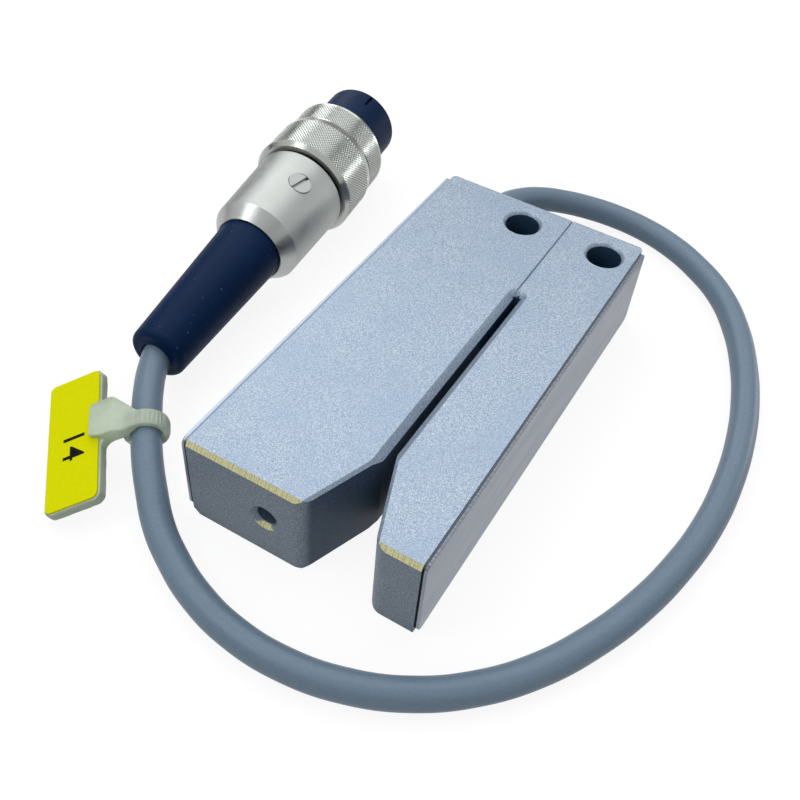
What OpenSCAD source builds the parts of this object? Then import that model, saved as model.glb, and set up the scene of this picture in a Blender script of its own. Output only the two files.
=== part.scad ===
// Fork sensor: two milled arms with a narrow sensing slot between them, a cable
// with a round screw connector, and a marker tag on the cable.
// The part lies on its wide face. X runs across the arms, Y from the mouth to the
// cable end, Z up. The origin is the bottom centre of the housing.

/* [Housing] */
// Width of the wide arm's block
main_w = 22.2; // [20:0.1:30]
// Width of the slim arm's block
slim_w = 12.4; // [11:0.1:18]
// Length of both arms
body_l = 72; // [68:1:100]
// Height of both arms
body_h = 14.6; // [13.6:0.1:20]
// Front top chamfer, measured across the top
front_chamfer_top = 0.5; // [0.2:0.1:1]
// Front top chamfer, measured down the front
front_chamfer_down = 0.8; // [0.2:0.1:1.2]
// Rounding where a lead-in meets the front
mouth_r = 2.2; // [0.6:0.1:3]
// Rounding of the outer corners at the rear
rear_r = 0.8; // [0.4:0.1:1.6]
// Chamfer along the wide arm's lower outer edge
foot_chamfer = 1; // [0.4:0.1:1.4]
// Chamfer along the joint of the two arms
seam_chamfer = 0.2; // [0.1:0.05:0.4]

/* [Slot and mouth] */
// Width of the sensing slot
slot_w = 1; // [0.6:0.1:1.6]
// Length of the bridge that joins the arms behind the slot
bridge_l = 21.6; // [21:0.1:26]
// Chamfer along the edges of the slot
slot_chamfer = 1; // [0.4:0.1:1.4]
// Length of the lead-in on the wide arm
main_lead = 11.8; // [8:0.1:14]
// Length of the lead-in on the slim arm
slim_lead = 13.8; // [8:0.1:15]
// Angle between a lead-in and the slot
lead_angle = 20; // [10:1:24]
// Chamfer along the edges of the lead-ins
lead_chamfer = 0.45; // [0.2:0.05:0.8]
// Distance of the sensing spot from the front
spot_depth = 26; // [20:0.5:34]

/* [Side covers] */
// Thickness of a side cover
cover_t = 0.45; // [0.3:0.05:1]
// Thickness of a cover seal
seal_t = 0.25; // [0.2:0.05:0.6]
// How far a cover stands in from the block's edges
cover_inset = 0.1; // [0:0.1:0.8]
// Rounding of the cover corners
cover_r = 1; // [0.4:0.1:2]

/* [Pockets] */
// Wall above and below the pockets
pocket_wall = 2; // [1.6:0.1:3]
// Wall between the wide arm's pocket and the front
main_front_wall = 5; // [4:0.1:8]
// Wall between the wide arm's pocket and the rear
main_rear_wall = 12; // [11:0.1:16]
// Wall between the wide arm's pocket and the slot face
main_floor = 5.4; // [4:0.1:8]
// Wall between the slim arm's pocket and the front
slim_front_wall = 12; // [10:0.1:16]
// Wall between the slim arm's pocket and the rear
slim_rear_wall = 13; // [11:0.1:14]
// Wall between the slim arm's pocket and the slot face
slim_floor = 3.5; // [2.5:0.1:5]
// Height of the board ledge above the wide arm's pocket floor
main_ledge_h = 7.5; // [6:0.1:9]
// Height of the board ledge above the slim arm's pocket floor
slim_ledge_h = 3.2; // [2.6:0.1:4]
// Width of the board ledges
ledge_w = 0.8; // [0.5:0.1:1.2]

/* [Holes] */
// Diameter of the mounting holes
mount_d = 5.5; // [4:0.1:6]
// Spacing of the mounting holes
mount_spacing = 14.4; // [13:0.1:17]
// Distance of the mounting holes from the rear
mount_inset = 5.3; // [4:0.1:7]
// Distance of the slim arm's mounting hole from the cover seal
mount_side = 4.6; // [4:0.1:6]
// Chamfer of the mounting holes
mount_chamfer = 0.5; // [0.2:0.1:1]
// Diameter of the lamp hole in the front
lamp_d = 3; // [2:0.1:4]
// Countersink diameter of the lamp hole
lamp_sink_d = 4.3; // [3:0.1:6]
// Distance of the lamp hole from the wide arm's outer face
lamp_side = 12; // [10:0.1:14]
// How far the lamp sits back from the front
lamp_recess = 4; // [2:0.1:4.4]
// Length of the lamp
lamp_l = 6.5; // [6:0.1:9]

/* [Electronics] */
// Thickness of the circuit boards
board_t = 1; // [0.8:0.1:1.6]
// Diameter of the light windows
window_d = 2.5; // [1.6:0.1:3]
// Thickness of the light windows
window_t = 1; // [0.6:0.1:1.4]
// Diameter of the diode cans
can_d = 3.8; // [3:0.1:5]
// Diameter of the diode noses
nose_d = 2.3; // [1.4:0.1:2.8]
// Diameter of the cross bore for the link wires
link_d = 2.2; // [1.8:0.1:2.6]
// Distance of the cross bore from the end of the slot
link_behind_slot = 6.1; // [5.8:0.1:7]
// Diameter of a link wire
link_wire_d = 0.6; // [0.4:0.1:0.7]
// Distance of the arm screws from the end of the slot
screw_behind_slot = 2.6; // [2.4:0.1:3]
// Spacing of the arm screws
screw_spacing = 4.8; // [4.4:0.1:5]
// Thread diameter of the arm screws
screw_d = 2; // [1.6:0.1:2.4]
// Head diameter of the arm screws
screw_head_d = 3.6; // [3:0.1:3.8]
// Head height of the arm screws
screw_head_h = 1.2; // [0.8:0.1:1.6]
// Depth of an arm screw in the wide arm
screw_bite = 4; // [2.5:0.1:4.6]

/* [Cable] */
// Diameter of the cable
cable_d = 4.3; // [3.8:0.1:4.4]
// Diameter of the bush in the rear wall
bush_d = 6.4; // [6:0.1:7]
// Length of the bush inside the rear wall
bush_l = 8; // [5:0.5:10]
// How far the bush stands out of the rear wall
bush_out = 2.5; // [1:0.1:3]
// Diameter of a cable core
core_d = 0.9; // [0.6:0.1:1]
// Spacing of the cable cores
core_spacing = 1.7; // [1.2:0.1:1.9]
// Width of the lead terminal on the board
terminal_w = 6; // [5:0.1:8]
// Height of the lead terminal on the board
terminal_h = 3.6; // [3.2:0.1:5]

/* [Connector] */
// Length of the connector shell
shell_l = 17.4; // [16:0.1:20]
// Diameter of the shell at the coupling ring
shell_d = 16.1; // [15.6:0.1:17]
// Diameter of the shell at its rear shoulder
shell_rear_d = 15.2; // [14.8:0.1:16]
// Length of the shell's rear bevel
shell_bevel = 2.4; // [1.5:0.1:3]
// Diameter of the shell's rear opening
shell_mouth_d = 11.6; // [11.4:0.1:12]
// Thickness of the shell's rear wall
shell_end_t = 3.4; // [3:0.1:4]
// Head diameter of the shell screw
shell_screw_d = 3.9; // [3:0.1:4.4]
// Distance of the shell screw from the coupling ring
shell_screw_back = 6; // [4:0.1:7]
// Turn of the shell screw from the top of the connector
shell_screw_turn = 27; // [0:1:60]
// Length of the coupling ring
ring_l = 15.2; // [13:0.1:17]
// Diameter of the coupling ring's rear band
ring_d = 18.4; // [17.8:0.1:19]
// Diameter of the coupling ring's front band
ring_front_d = 17.5; // [16.8:0.1:18]
// Diameter of the coupling ring's front lip
ring_lip_d = 15.8; // [15.6:0.1:16.2]
// Length of the coupling ring's rear band
ring_band_l = 7.6; // [6:0.1:9]
// Diameter of the thread inside the coupling ring
ring_thread_d = 15.1; // [14.8:0.1:15.4]
// Length of the coupling ring's collar
collar_l = 3.7; // [3:0.1:4.5]
// Diameter of the connector's nose
insert_d = 13.6; // [12.8:0.1:13.8]
// How far the nose stands out of the coupling ring
insert_out = 8; // [6:0.1:10]
// Depth of the insert inside the shell
insert_tail = 9; // [8:0.1:9.4]
// Width of the nose's key slot
key_w = 0.5; // [0.3:0.1:1.5]
// Depth of the nose's key slot
key_depth = 0.8; // [0.4:0.1:1.2]
// Length of the nose's key slot
key_l = 2.6; // [1.5:0.1:6]
// Distance of the nose's key slot from the tip
key_end = 0.6; // [0.3:0.1:1.5]
// Turn of the key slot from the top of the connector
key_turn = 22; // [0:1:60]
// Diameter of the circle of contacts
contact_circle = 7; // [6:0.1:8]
// Outer diameter of a contact sleeve
contact_d = 1.5; // [1.2:0.1:1.8]
// Bore of a contact sleeve
contact_bore = 1; // [0.6:0.1:1]
// Depth of the contact holes
contact_depth = 10; // [7:0.1:12]
// Length of the boot outside the shell
boot_l = 26.6; // [24:0.1:30]
// Diameter of the boot at its tip
boot_tip_d = 8.9; // [8.4:0.1:10]
// Diameter of the boot at the shell
boot_root_d = 11.2; // [10:0.1:11.4]
// Rounding of the boot's tip
boot_round = 1; // [0.4:0.1:1.2]

/* [Marker tag] */
// Length of the label
label_l = 21.1; // [16:0.1:26]
// Width of the label
label_w = 8.2; // [6:0.1:10]
// Thickness of the label
label_t = 0.3; // [0.2:0.1:0.6]
// Border of the plate round the label
plate_border = 0.3; // [0.1:0.1:1.6]
// Thickness of the plate
plate_t = 1.4; // [0.8:0.1:1.5]
// Rounding of the plate corners
plate_r = 1.2; // [0.4:0.1:2]
// Width of the strap
strap_w = 2.5; // [2:0.1:3.5]
// Thickness of the strap
strap_t = 0.85; // [0.6:0.05:1.4]
// Length of the head along the plate
head_l = 5.8; // [4:0.1:8]
// How far the head reaches over the label
head_lap = 1.4; // [0.5:0.1:2.5]
// How far the head stands above the label
head_rise = 0.8; // [0.3:0.1:1.4]

/* [Hidden] */

$fn = 64;
// Overshoot of a cutting tool beyond the face it cuts
cut = 1;
// Clearance of a part that sits in a hole or pocket
fit = 0.05;
// Clearance of the boards in their pockets
board_fit = 0.2;

// Places of the two blocks across X
side_t = cover_t + seal_t;
body_w = main_w + slim_w + 2 * side_t;
main_x = -body_w / 2 + side_t;
seam_x = main_x + main_w;
slot_x = seam_x + slot_w;
slim_x = seam_x + slim_w;

// Places along Y and Z
front_y = -body_l / 2;
rear_y = body_l / 2;
slot_end_y = rear_y - bridge_l;
groove_end_y = slot_end_y - slot_w / 2;
spot_y = front_y + spot_depth;
mid_z = body_h / 2;
main_cover_z = foot_chamfer + cover_inset;
slim_cover_z = 0.5;
main_mouth_x = seam_x - main_lead * tan(lead_angle);
slim_mouth_x = slot_x + slim_lead * tan(lead_angle);

// Mounting holes, one in each arm
mount_y = rear_y - mount_inset;
slim_mount_x = slim_x - mount_side;
main_mount_x = slim_mount_x - mount_spacing;

// Pockets, their board ledges and boards
main_floor_x = seam_x - main_floor;
slim_floor_x = slot_x + slim_floor;
main_ledge_x = main_floor_x - main_ledge_h;
slim_ledge_x = slim_floor_x + slim_ledge_h;
main_pocket_y = [front_y + main_front_wall, rear_y - main_rear_wall];
slim_pocket_y = [front_y + slim_front_wall, rear_y - slim_rear_wall];
pocket_z = [pocket_wall, body_h - pocket_wall];
main_board_x = main_ledge_x - board_t;
slim_board_x = slim_ledge_x + board_t;

// Bores between the two pockets
lamp_x = main_x + lamp_side;
link_y = slot_end_y + link_behind_slot;
screw_y = slot_end_y + screw_behind_slot;
window_bore_d = window_d + 2 * fit;

// Cable exit in the rear wall, and the terminal that its cores reach
lead_fit = 0.2;
exit_x = main_board_x - lead_fit - (core_spacing + core_d) / 2;
exit_z = mid_z;
cable_r = cable_d / 2;
cable_inner_y = main_pocket_y[1];
cable_end = -insert_tail - 4 * fit;
bush_bore_d = cable_d + 2 * fit;
bush_tail_d = cable_d + 1;
terminal_l = 5;
lead_l = 9;
terminal_y = [cable_inner_y - lead_l - terminal_l, cable_inner_y - lead_l];

// Place and lean of the connector: its shell meets the ring at this point
connector_at = [-40.3, 23.2, 9.15];
connector_pitch = 3;
connector_yaw = 5.6;

// Stations along the connector's axis
ring_gap = 0.3;
ring_end = ring_gap + ring_l;
ring_wear = 0.1;
ring_rear_bevel = [0.6, 0.9];
ring_shoulder = [0.3, 0.9];
ring_step_l = 1.5;
ring_front_bevel = 1.2;
collar_end = ring_gap + collar_l;
retainer_t = 0.8;
retainer_groove = 0.5;
retainer_at = collar_end + ring_wear;
nose_chamfer = 0.4;
nose_tip = ring_end + insert_out;
boot_tip = -shell_l - boot_l;
shell_bore_d = insert_d + 2 * fit;
shell_end = -shell_l + shell_end_t;
shell_rim = 0.4;
shell_lip = 0.2;
flange_t = 1.5;
flange_d = insert_d - 8 * fit;
clamp_back = shell_end + flange_t + fit;
boot_mouth_d = cable_d + 1;
boot_mouth_l = 4;
boot_bore_d = cable_d + 4 * fit;
contact_angles = [-90, -45, 0, 45, 90];
contact_recess = 1;
contact_web = 2;
boot_root_l = 0.6;

// Place and turn of the marker tie on the cable
tie_at = [-29.6, -30.2, 6.15];
tie_turn = [27, 7, -51.5];
label_top = 4.1;
label_at = [2.65, -9.05];
plate_turn = 1.9;
plate_top = label_top - label_t;
plate_low = plate_top - plate_t;
strap_fit = 0.15;
strap_r = cable_r + strap_fit;
strap_x = 1.85;

// Route of the cable: out of the rear wall, round the housing on the floor and up
// to the boot, then along the connector's axis
cable_route = concat(
    [
        [exit_x, cable_inner_y, exit_z], [exit_x, 31, exit_z], [exit_x, 39.5, exit_z],
        [-10.1, 43.6, 7], [-8.8, 47.6, 6.2], [-6.4, 51.3, 5.3], [-2.9, 54.6, 4.2],
        [1.4, 57.1, 3.2], [6.5, 58.5, 2.5], [12, 58.4, 2.2], [18, 56.6, 2.2],
        [24, 53.3, 2.2], [29.8, 48.5, 2.2], [34.7, 41.8, 2.2], [38.6, 33.8, 2.2],
        [41.4, 25.5, 2.2], [43.2, 17, 2.2], [44.1, 8, 2.2], [44, -1, 2.2],
        [42.8, -9.5, 2.2], [40.6, -18, 2.2], [37.4, -26, 2.2], [33.2, -33.4, 2.2],
        [28, -39.5, 2.2], [21.8, -44.3, 2.2], [14.6, -47.6, 2.2], [7, -49.2, 2.2],
        [-0.5, -49.1, 2.2], [-7.7, -47.4, 2.2], [-14, -44.5, 2.3], [-18.2, -41.9, 2.9],
        [-22, -38.6, 4.1], [-25.6, -35, 5.3], tie_at, [-32.8, -25.9, 6.6],
        [-34.9, -22.4, 6.75],
    ],
    [for (along = [-43, -30, cable_end]) connector_point(along)]
);
cable_sides = 12;

// The point of the connector's axis at a distance in front of the shell
function connector_point(along) = connector_at + along * [
    -sin(connector_yaw) * cos(connector_pitch),
    cos(connector_yaw) * cos(connector_pitch),
    sin(connector_pitch),
];

function unit(v) = v / norm(v);

// Points of one corner [x, y, r] of an outline, rounded by its own radius
function corner(before, at, after, steps = 6) =
    at[2] == 0 ? [[at[0], at[1]]] :
    let (
        p = [at[0], at[1]],
        u = unit([before[0], before[1]] - p),
        v = unit([after[0], after[1]] - p),
        half = acos(u * v) / 2,
        mid = p + unit(u + v) * at[2] / sin(half),
        start = p + u * at[2] / tan(half) - mid,
        turn = (u[0] * v[1] - u[1] * v[0] < 0 ? 1 : -1) * (180 - 2 * half)
    )
    [for (i = [0:steps]) let (a = turn * i / steps)
        mid + [start[0] * cos(a) - start[1] * sin(a), start[0] * sin(a) + start[1] * cos(a)]];

// An outline of [x, y, r] corners as plain points
function rounded(corners) = let (n = len(corners))
    [for (i = [0:n - 1]) each corner(corners[(i + n - 1) % n], corners[i], corners[(i + 1) % n])];

// A rectangle from low to high with equal corners
function rounded_box(low, high, r) = rounded([
    [low[0], low[1], r], [high[0], low[1], r], [high[0], high[1], r], [low[0], high[1], r],
]);

// A round bar along X or Y
module bar_x(from, to, d, y, z) {
    translate([from, y, z]) rotate([0, 90, 0]) cylinder(h = to - from, d = d);
}

module bar_y(from, to, d, x, z) {
    translate([x, from, z]) rotate([-90, 0, 0]) cylinder(h = to - from, d = d);
}

// A block between two corner points
module block(low, high) {
    translate(low) cube(high - low);
}

// A wedge that chamfers the top edge from p to q, with the solid on its left
module edge_chamfer(p, q, across, down) {
    translate([p[0], p[1], body_h]) rotate([0, 0, atan2(q[1] - p[1], q[0] - p[0])])
        rotate([90, 0, 90]) linear_extrude(norm(q - p)) polygon([
            [-cut, cut], [across * (1 + cut / down), cut], [-cut, -down * (1 + cut / across)],
        ]);
}

// A cut that is built for the top of the housing, on its bottom
module bottom() {
    translate([0, 0, body_h]) mirror([0, 0, 1]) children();
}

// The same cut on the top and on the bottom of the housing
module top_and_bottom() {
    children();
    bottom() children();
}

// A chamfered through hole in an arm
module mount_hole(x) {
    translate([x, mount_y, -cut]) cylinder(h = body_h + 2 * cut, d = mount_d);
    top_and_bottom() translate([x, mount_y, body_h - mount_chamfer])
        cylinder(h = mount_chamfer, d1 = mount_d, d2 = mount_d + 2 * mount_chamfer);
}

// The round end of the slot's lead-in groove
module groove_end() {
    top_and_bottom() translate([(seam_x + slot_x) / 2, groove_end_y, body_h - slot_chamfer])
        cylinder(h = slot_chamfer, d1 = slot_w, d2 = slot_w + 2 * slot_chamfer);
}

// A pocket with a board ledge, cut from the outer face towards the floor
module pocket(outer_x, ledge_x, floor_x, along) {
    out = outer_x < floor_x ? outer_x - cut : outer_x + cut;
    block(
        [min(out, ledge_x), along[0], pocket_z[0]],
        [max(out, ledge_x), along[1], pocket_z[1]]
    );
    block(
        [min(out, floor_x), along[0] + ledge_w, pocket_z[0] + ledge_w],
        [max(out, floor_x), along[1] - ledge_w, pocket_z[1] - ledge_w]
    );
}

// The places of the two arm screws
module at_arm_screws() {
    for (side = [-1, 1]) translate([0, screw_y, mid_z + side * screw_spacing / 2]) children();
}

module main_housing() {
    mouth = [main_mouth_x, front_y];
    throat = [seam_x, front_y + main_lead];
    color("lightsteelblue") difference() {
        linear_extrude(body_h) polygon(rounded([
            [main_x, front_y, 0], [mouth[0], mouth[1], mouth_r], [throat[0], throat[1], 0],
            [seam_x, rear_y, 0], [main_x, rear_y, rear_r],
        ]));
        edge_chamfer([main_x, front_y], mouth, front_chamfer_top, front_chamfer_down);
        top_and_bottom() {
            edge_chamfer(mouth, throat, lead_chamfer, lead_chamfer);
            edge_chamfer([seam_x, front_y], [seam_x, groove_end_y], slot_chamfer, slot_chamfer);
            edge_chamfer([seam_x, slot_end_y], [seam_x, rear_y], seam_chamfer, seam_chamfer);
        }
        bottom() edge_chamfer([main_x, rear_y], [main_x, front_y], foot_chamfer, foot_chamfer);
        groove_end();
        mount_hole(main_mount_x);
        pocket(main_x, main_ledge_x, main_floor_x, main_pocket_y);
        bar_x(main_floor_x - cut, seam_x + cut, window_bore_d, spot_y, mid_z);
        bar_x(main_floor_x - cut, seam_x + cut, link_d, link_y, mid_z);
        at_arm_screws() bar_x(seam_x - screw_bite - fit, seam_x + cut, screw_d + 2 * fit, 0, 0);
        bar_y(front_y - cut, main_pocket_y[0] + ledge_w + cut, lamp_d, lamp_x, mid_z);
        translate([lamp_x, front_y, mid_z]) rotate([-90, 0, 0])
            cylinder(h = (lamp_sink_d - lamp_d) / 2, d1 = lamp_sink_d, d2 = lamp_d);
        bar_y(main_pocket_y[1] - cut, rear_y + cut, bush_d + 2 * fit, exit_x, exit_z);
    }
}

module slim_housing() {
    mouth = [slim_mouth_x, front_y];
    throat = [slot_x, front_y + slim_lead];
    color("lightsteelblue") difference() {
        linear_extrude(body_h) polygon(rounded([
            [mouth[0], mouth[1], mouth_r], [slim_x, front_y, 0], [slim_x, rear_y, rear_r],
            [seam_x, rear_y, 0], [seam_x, slot_end_y, 0], [slot_x, slot_end_y, 0],
            [throat[0], throat[1], 0],
        ]));
        edge_chamfer(mouth, [slim_x, front_y], front_chamfer_top, front_chamfer_down);
        top_and_bottom() {
            edge_chamfer(throat, mouth, lead_chamfer, lead_chamfer);
            edge_chamfer([slot_x, groove_end_y], [slot_x, front_y], slot_chamfer, slot_chamfer);
            edge_chamfer([seam_x, rear_y], [seam_x, slot_end_y], seam_chamfer, seam_chamfer);
        }
        groove_end();
        mount_hole(slim_mount_x);
        pocket(slim_x, slim_ledge_x, slim_floor_x, slim_pocket_y);
        bar_x(slot_x - cut, slim_floor_x + cut, window_bore_d, spot_y, mid_z);
        bar_x(seam_x - cut, slim_floor_x + cut, link_d, link_y, mid_z);
        at_arm_screws() bar_x(seam_x - cut, slim_floor_x + cut, screw_d + 4 * fit, 0, 0);
    }
}

// A flat plate with round corners that covers an arm's outer face from a height up
module side_plate(x, thickness, low) {
    translate([x, 0, 0]) rotate([90, 0, 90]) linear_extrude(thickness) polygon(rounded_box(
        [front_y + cover_inset, low],
        [rear_y - rear_r, body_h - cover_inset],
        cover_r
    ));
}

// The gasket under a cover: the plate's outline, open over the pocket
module side_seal(x, along, low) {
    difference() {
        side_plate(x, seal_t, low);
        block([x - cut, along[0], pocket_z[0]], [x + seal_t + cut, along[1], pocket_z[1]]);
    }
}

module main_cover() {
    color("silver") side_plate(-body_w / 2, cover_t, main_cover_z);
}

module slim_cover() {
    color("silver") side_plate(slim_x + seal_t, cover_t, slim_cover_z);
}

module main_cover_seal() {
    color("black") side_seal(main_x - seal_t, main_pocket_y, main_cover_z);
}

module slim_cover_seal() {
    color("black") side_seal(slim_x, slim_pocket_y, slim_cover_z);
}

module arm_screws() {
    head_top = slim_floor_x + screw_head_h;
    color("gray") at_arm_screws() difference() {
        union() {
            bar_x(seam_x - screw_bite, head_top, screw_d, 0, 0);
            bar_x(slim_floor_x, head_top, screw_head_d, 0, 0);
        }
        bar_x(head_top - screw_head_h / 2, head_top + cut, screw_d, 0, 0, $fn = 6);
    }
}

// A board that lies on a pocket's ledge
module board(x, along) {
    block(
        [x, along[0] + board_fit, pocket_z[0] + board_fit],
        [x + board_t, along[1] - board_fit, pocket_z[1] - board_fit]
    );
}

module receiver_board() {
    color("seagreen") board(main_board_x, main_pocket_y);
}

module emitter_board() {
    color("seagreen") board(slim_ledge_x, slim_pocket_y);
}

// Gap between a diode's nose and its window
diode_gap = 0.4;

module receiver_diode() {
    color("dimgray") {
        bar_x(main_ledge_x, main_floor_x - fit, can_d, spot_y, mid_z);
        bar_x(main_ledge_x, seam_x - window_t - diode_gap, nose_d, spot_y, mid_z);
    }
}

module emitter_diode() {
    color("dimgray") {
        bar_x(slim_floor_x + fit, slim_ledge_x, can_d, spot_y, mid_z);
        bar_x(slot_x + window_t + diode_gap, slim_ledge_x, nose_d, spot_y, mid_z);
    }
}

module receiver_window() {
    color("darkred") bar_x(seam_x - window_t, seam_x, window_d, spot_y, mid_z);
}

module emitter_window() {
    color("darkred") bar_x(slot_x, slot_x + window_t, window_d, spot_y, mid_z);
}

// Length, width and height of the chips, and their distances from the pocket's front
chip = [5, 4, 1.5];
chip_insets = [13, 27];

module signal_chips() {
    color("black") for (inset = chip_insets) let (along = main_pocket_y[0] + inset) block(
        [main_board_x - chip[2], along, mid_z - chip[1] / 2],
        [main_board_x, along + chip[0], mid_z + chip[1] / 2]
    );
}

module emitter_driver() {
    color("black") block(
        [slim_board_x, spot_y + chip[0], mid_z - chip[1] / 2],
        [slim_board_x + chip[2], spot_y + 2 * chip[0], mid_z + chip[1] / 2]
    );
}

module status_lamp() {
    from = front_y + lamp_recess;
    color("ivory") {
        bar_y(from, from + lamp_l, lamp_d - 2 * fit, lamp_x, mid_z);
        translate([lamp_x, from, mid_z]) difference() {
            sphere(d = lamp_d - 2 * fit);
            translate([-lamp_d, 0, -lamp_d]) cube(2 * lamp_d);
        }
    }
}

// The wires lie in a bundle in the cross bore
module link_wires() {
    bundle_r = link_wire_d / sqrt(3) + fit;
    color("firebrick") for (turn = [0, 120, 240]) bar_x(
        main_ledge_x, slim_ledge_x, link_wire_d,
        link_y + bundle_r * cos(turn), mid_z + bundle_r * sin(turn)
    );
}

module lead_terminal() {
    color("white") block(
        [main_board_x - terminal_h, terminal_y[0], exit_z - terminal_w / 2],
        [main_board_x, terminal_y[1], exit_z + terminal_w / 2]
    );
}

module cable_leads() {
    color("saddlebrown") for (x = [-1, 1], z = [-1, 1]) bar_y(
        terminal_y[1], cable_inner_y, core_d,
        exit_x + x * core_spacing / 2, exit_z + z * core_spacing / 2
    );
}

// Rubber bush with a short tapered tail outside the rear wall
module cable_bush() {
    color("darkslategray") translate([exit_x, rear_y, exit_z]) rotate([-90, 0, 0]) difference() {
        union() {
            translate([0, 0, -bush_l]) cylinder(h = bush_l, d = bush_d);
            cylinder(h = bush_out, d1 = bush_d, d2 = bush_tail_d);
        }
        translate([0, 0, -bush_l - cut]) cylinder(h = bush_l + bush_out + 2 * cut, d = bush_bore_d);
    }
}

// Direction of the route at one of its points
function route_way(i) =
    unit(cable_route[min(i + 1, len(cable_route) - 1)] - cable_route[max(i - 1, 0)]);

// One ring of points round the route
function route_ring(i) = let (
        way = route_way(i),
        side = unit(cross(way, [0, 0, 1])),
        up = cross(side, way)
    )
    [for (k = [0:cable_sides - 1]) let (a = 360 * k / cable_sides)
        cable_route[i] + cable_r * (cos(a) * side + sin(a) * up)];

module sensor_cable() {
    last = len(cable_route) - 1;
    n = cable_sides;
    color("slategray") polyhedron(
        points = [for (i = [0:last]) each route_ring(i)],
        faces = concat(
            [[for (k = [0:n - 1]) k]],
            [for (i = [0:last - 1], k = [0:n - 1]) let (m = (k + 1) % n)
                [i * n + k, i * n + n + k, i * n + n + m, i * n + m]],
            [[for (k = [n - 1:-1:0]) last * n + k]]
        )
    );
}

// Puts what is built along +Z on the connector's axis
module on_connector() {
    translate(connector_at) rotate([connector_pitch - 90, 0, connector_yaw]) children();
}

// Turns what stands at the top of the connector round its axis
module turned(angle) {
    rotate([0, 0, 180 + angle]) children();
}

module connector_shell() {
    color("gainsboro") on_connector() difference() {
        rotate_extrude() polygon([
            [shell_bore_d / 2, 0],
            [shell_bore_d / 2, shell_end],
            [shell_mouth_d / 2, shell_end],
            [shell_mouth_d / 2, -shell_l],
            [shell_mouth_d / 2 + shell_lip, -shell_l],
            [shell_rear_d / 2, shell_bevel - shell_l],
            [shell_d / 2, -shell_rim],
            [shell_d / 2 - shell_rim, 0],
        ]);
        turned(shell_screw_turn) translate([0, 0, -shell_screw_back]) rotate([-90, 0, 0])
            cylinder(h = shell_d, d = shell_screw_d + 2 * fit);
    }
}

// Shell screw: head, thread, driver slot and its turn, and its ends as distances from the axis
shell_screw_head = 1.1;
shell_screw_thread = 2;
shell_screw_slot = [0.5, 0.5];
shell_screw_slot_turn = 77;
shell_screw_sunk = 0.15;
shell_screw_top = shell_d / 2 - shell_screw_sunk;
shell_screw_bite = 2.8;
shell_screw_tip = insert_d / 2 - shell_screw_bite;

module shell_screw() {
    color("silver") on_connector() turned(shell_screw_turn)
        translate([0, 0, -shell_screw_back]) rotate([-90, 0, 0]) difference() {
            union() {
                translate([0, 0, shell_screw_tip])
                    cylinder(h = shell_screw_top - shell_screw_tip, d = shell_screw_thread);
                translate([0, 0, shell_screw_top - shell_screw_head])
                    cylinder(h = shell_screw_head, d = shell_screw_d);
            }
            rotate([0, 0, shell_screw_slot_turn])
                translate([-shell_screw_d, -shell_screw_slot[0] / 2, shell_screw_top - shell_screw_slot[1]])
                cube([2 * shell_screw_d, shell_screw_slot[0], shell_screw_slot[1] + cut]);
        }
}

module coupling_ring() {
    band_end = ring_gap + ring_band_l;
    color("silver") on_connector() rotate_extrude() polygon([
        [insert_d / 2 + ring_wear, ring_gap],
        [ring_d / 2 - ring_rear_bevel[0], ring_gap],
        [ring_d / 2, ring_gap + ring_rear_bevel[1]],
        [ring_d / 2, band_end],
        [ring_d / 2 - ring_shoulder[0], band_end + ring_shoulder[1]],
        [ring_front_d / 2, band_end + ring_step_l],
        [ring_front_d / 2, ring_end - ring_front_bevel],
        [ring_lip_d / 2, ring_end],
        [ring_thread_d / 2, ring_end],
        [ring_thread_d / 2, collar_end],
        [insert_d / 2 + ring_wear, collar_end],
    ]);
}

module ring_retainer() {
    groove_d = insert_d - 2 * retainer_groove + 2 * fit;
    color("dimgray") on_connector() translate([0, 0, retainer_at]) difference() {
        cylinder(h = retainer_t, d = ring_thread_d - 4 * ring_wear);
        translate([0, 0, -cut]) cylinder(h = retainer_t + 2 * cut, d = groove_d);
    }
}

module contact_insert() {
    color("midnightblue") on_connector() difference() {
        rotate_extrude() polygon([
            [0, -insert_tail],
            [insert_d / 2, -insert_tail],
            [insert_d / 2, retainer_at - fit],
            [insert_d / 2 - retainer_groove, retainer_at - fit],
            [insert_d / 2 - retainer_groove, retainer_at + retainer_t + fit],
            [insert_d / 2, retainer_at + retainer_t + fit],
            [insert_d / 2, nose_tip - nose_chamfer],
            [insert_d / 2 - nose_chamfer, nose_tip],
            [0, nose_tip],
        ]);
        turned(key_turn) translate([-key_w / 2, insert_d / 2 - key_depth, nose_tip - key_end - key_l])
            cube([key_w, key_depth + cut, key_l]);
        turned(shell_screw_turn) translate([0, shell_screw_tip - fit, -shell_screw_back])
            rotate([-90, 0, 0]) cylinder(h = insert_d, d = shell_screw_thread + 2 * fit);
        turned(shell_screw_turn) translate([0, shell_screw_top - shell_screw_head - fit, -shell_screw_back])
            rotate([-90, 0, 0]) cylinder(h = insert_d, d = shell_screw_d + 2 * fit);
        at_contacts() cylinder(h = contact_depth + cut, d = contact_d + 2 * fit);
    }
}

// The places of the contacts in the nose
module at_contacts() {
    for (angle = contact_angles) turned(key_turn + angle)
        translate([0, contact_circle / 2, nose_tip - contact_depth]) children();
}

module contact_sleeves() {
    color("gold") on_connector() at_contacts() difference() {
        cylinder(h = contact_depth - contact_recess, d = contact_d);
        translate([0, 0, contact_web]) cylinder(h = contact_depth, d = contact_bore);
    }
}

module cable_clamp() {
    color("silver") on_connector() difference() {
        translate([0, 0, clamp_back]) cylinder(h = -insert_tail - fit - clamp_back, d = insert_d - 2 * fit);
        translate([0, 0, clamp_back - cut]) cylinder(h = shell_l, d = boot_bore_d);
    }
}

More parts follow.
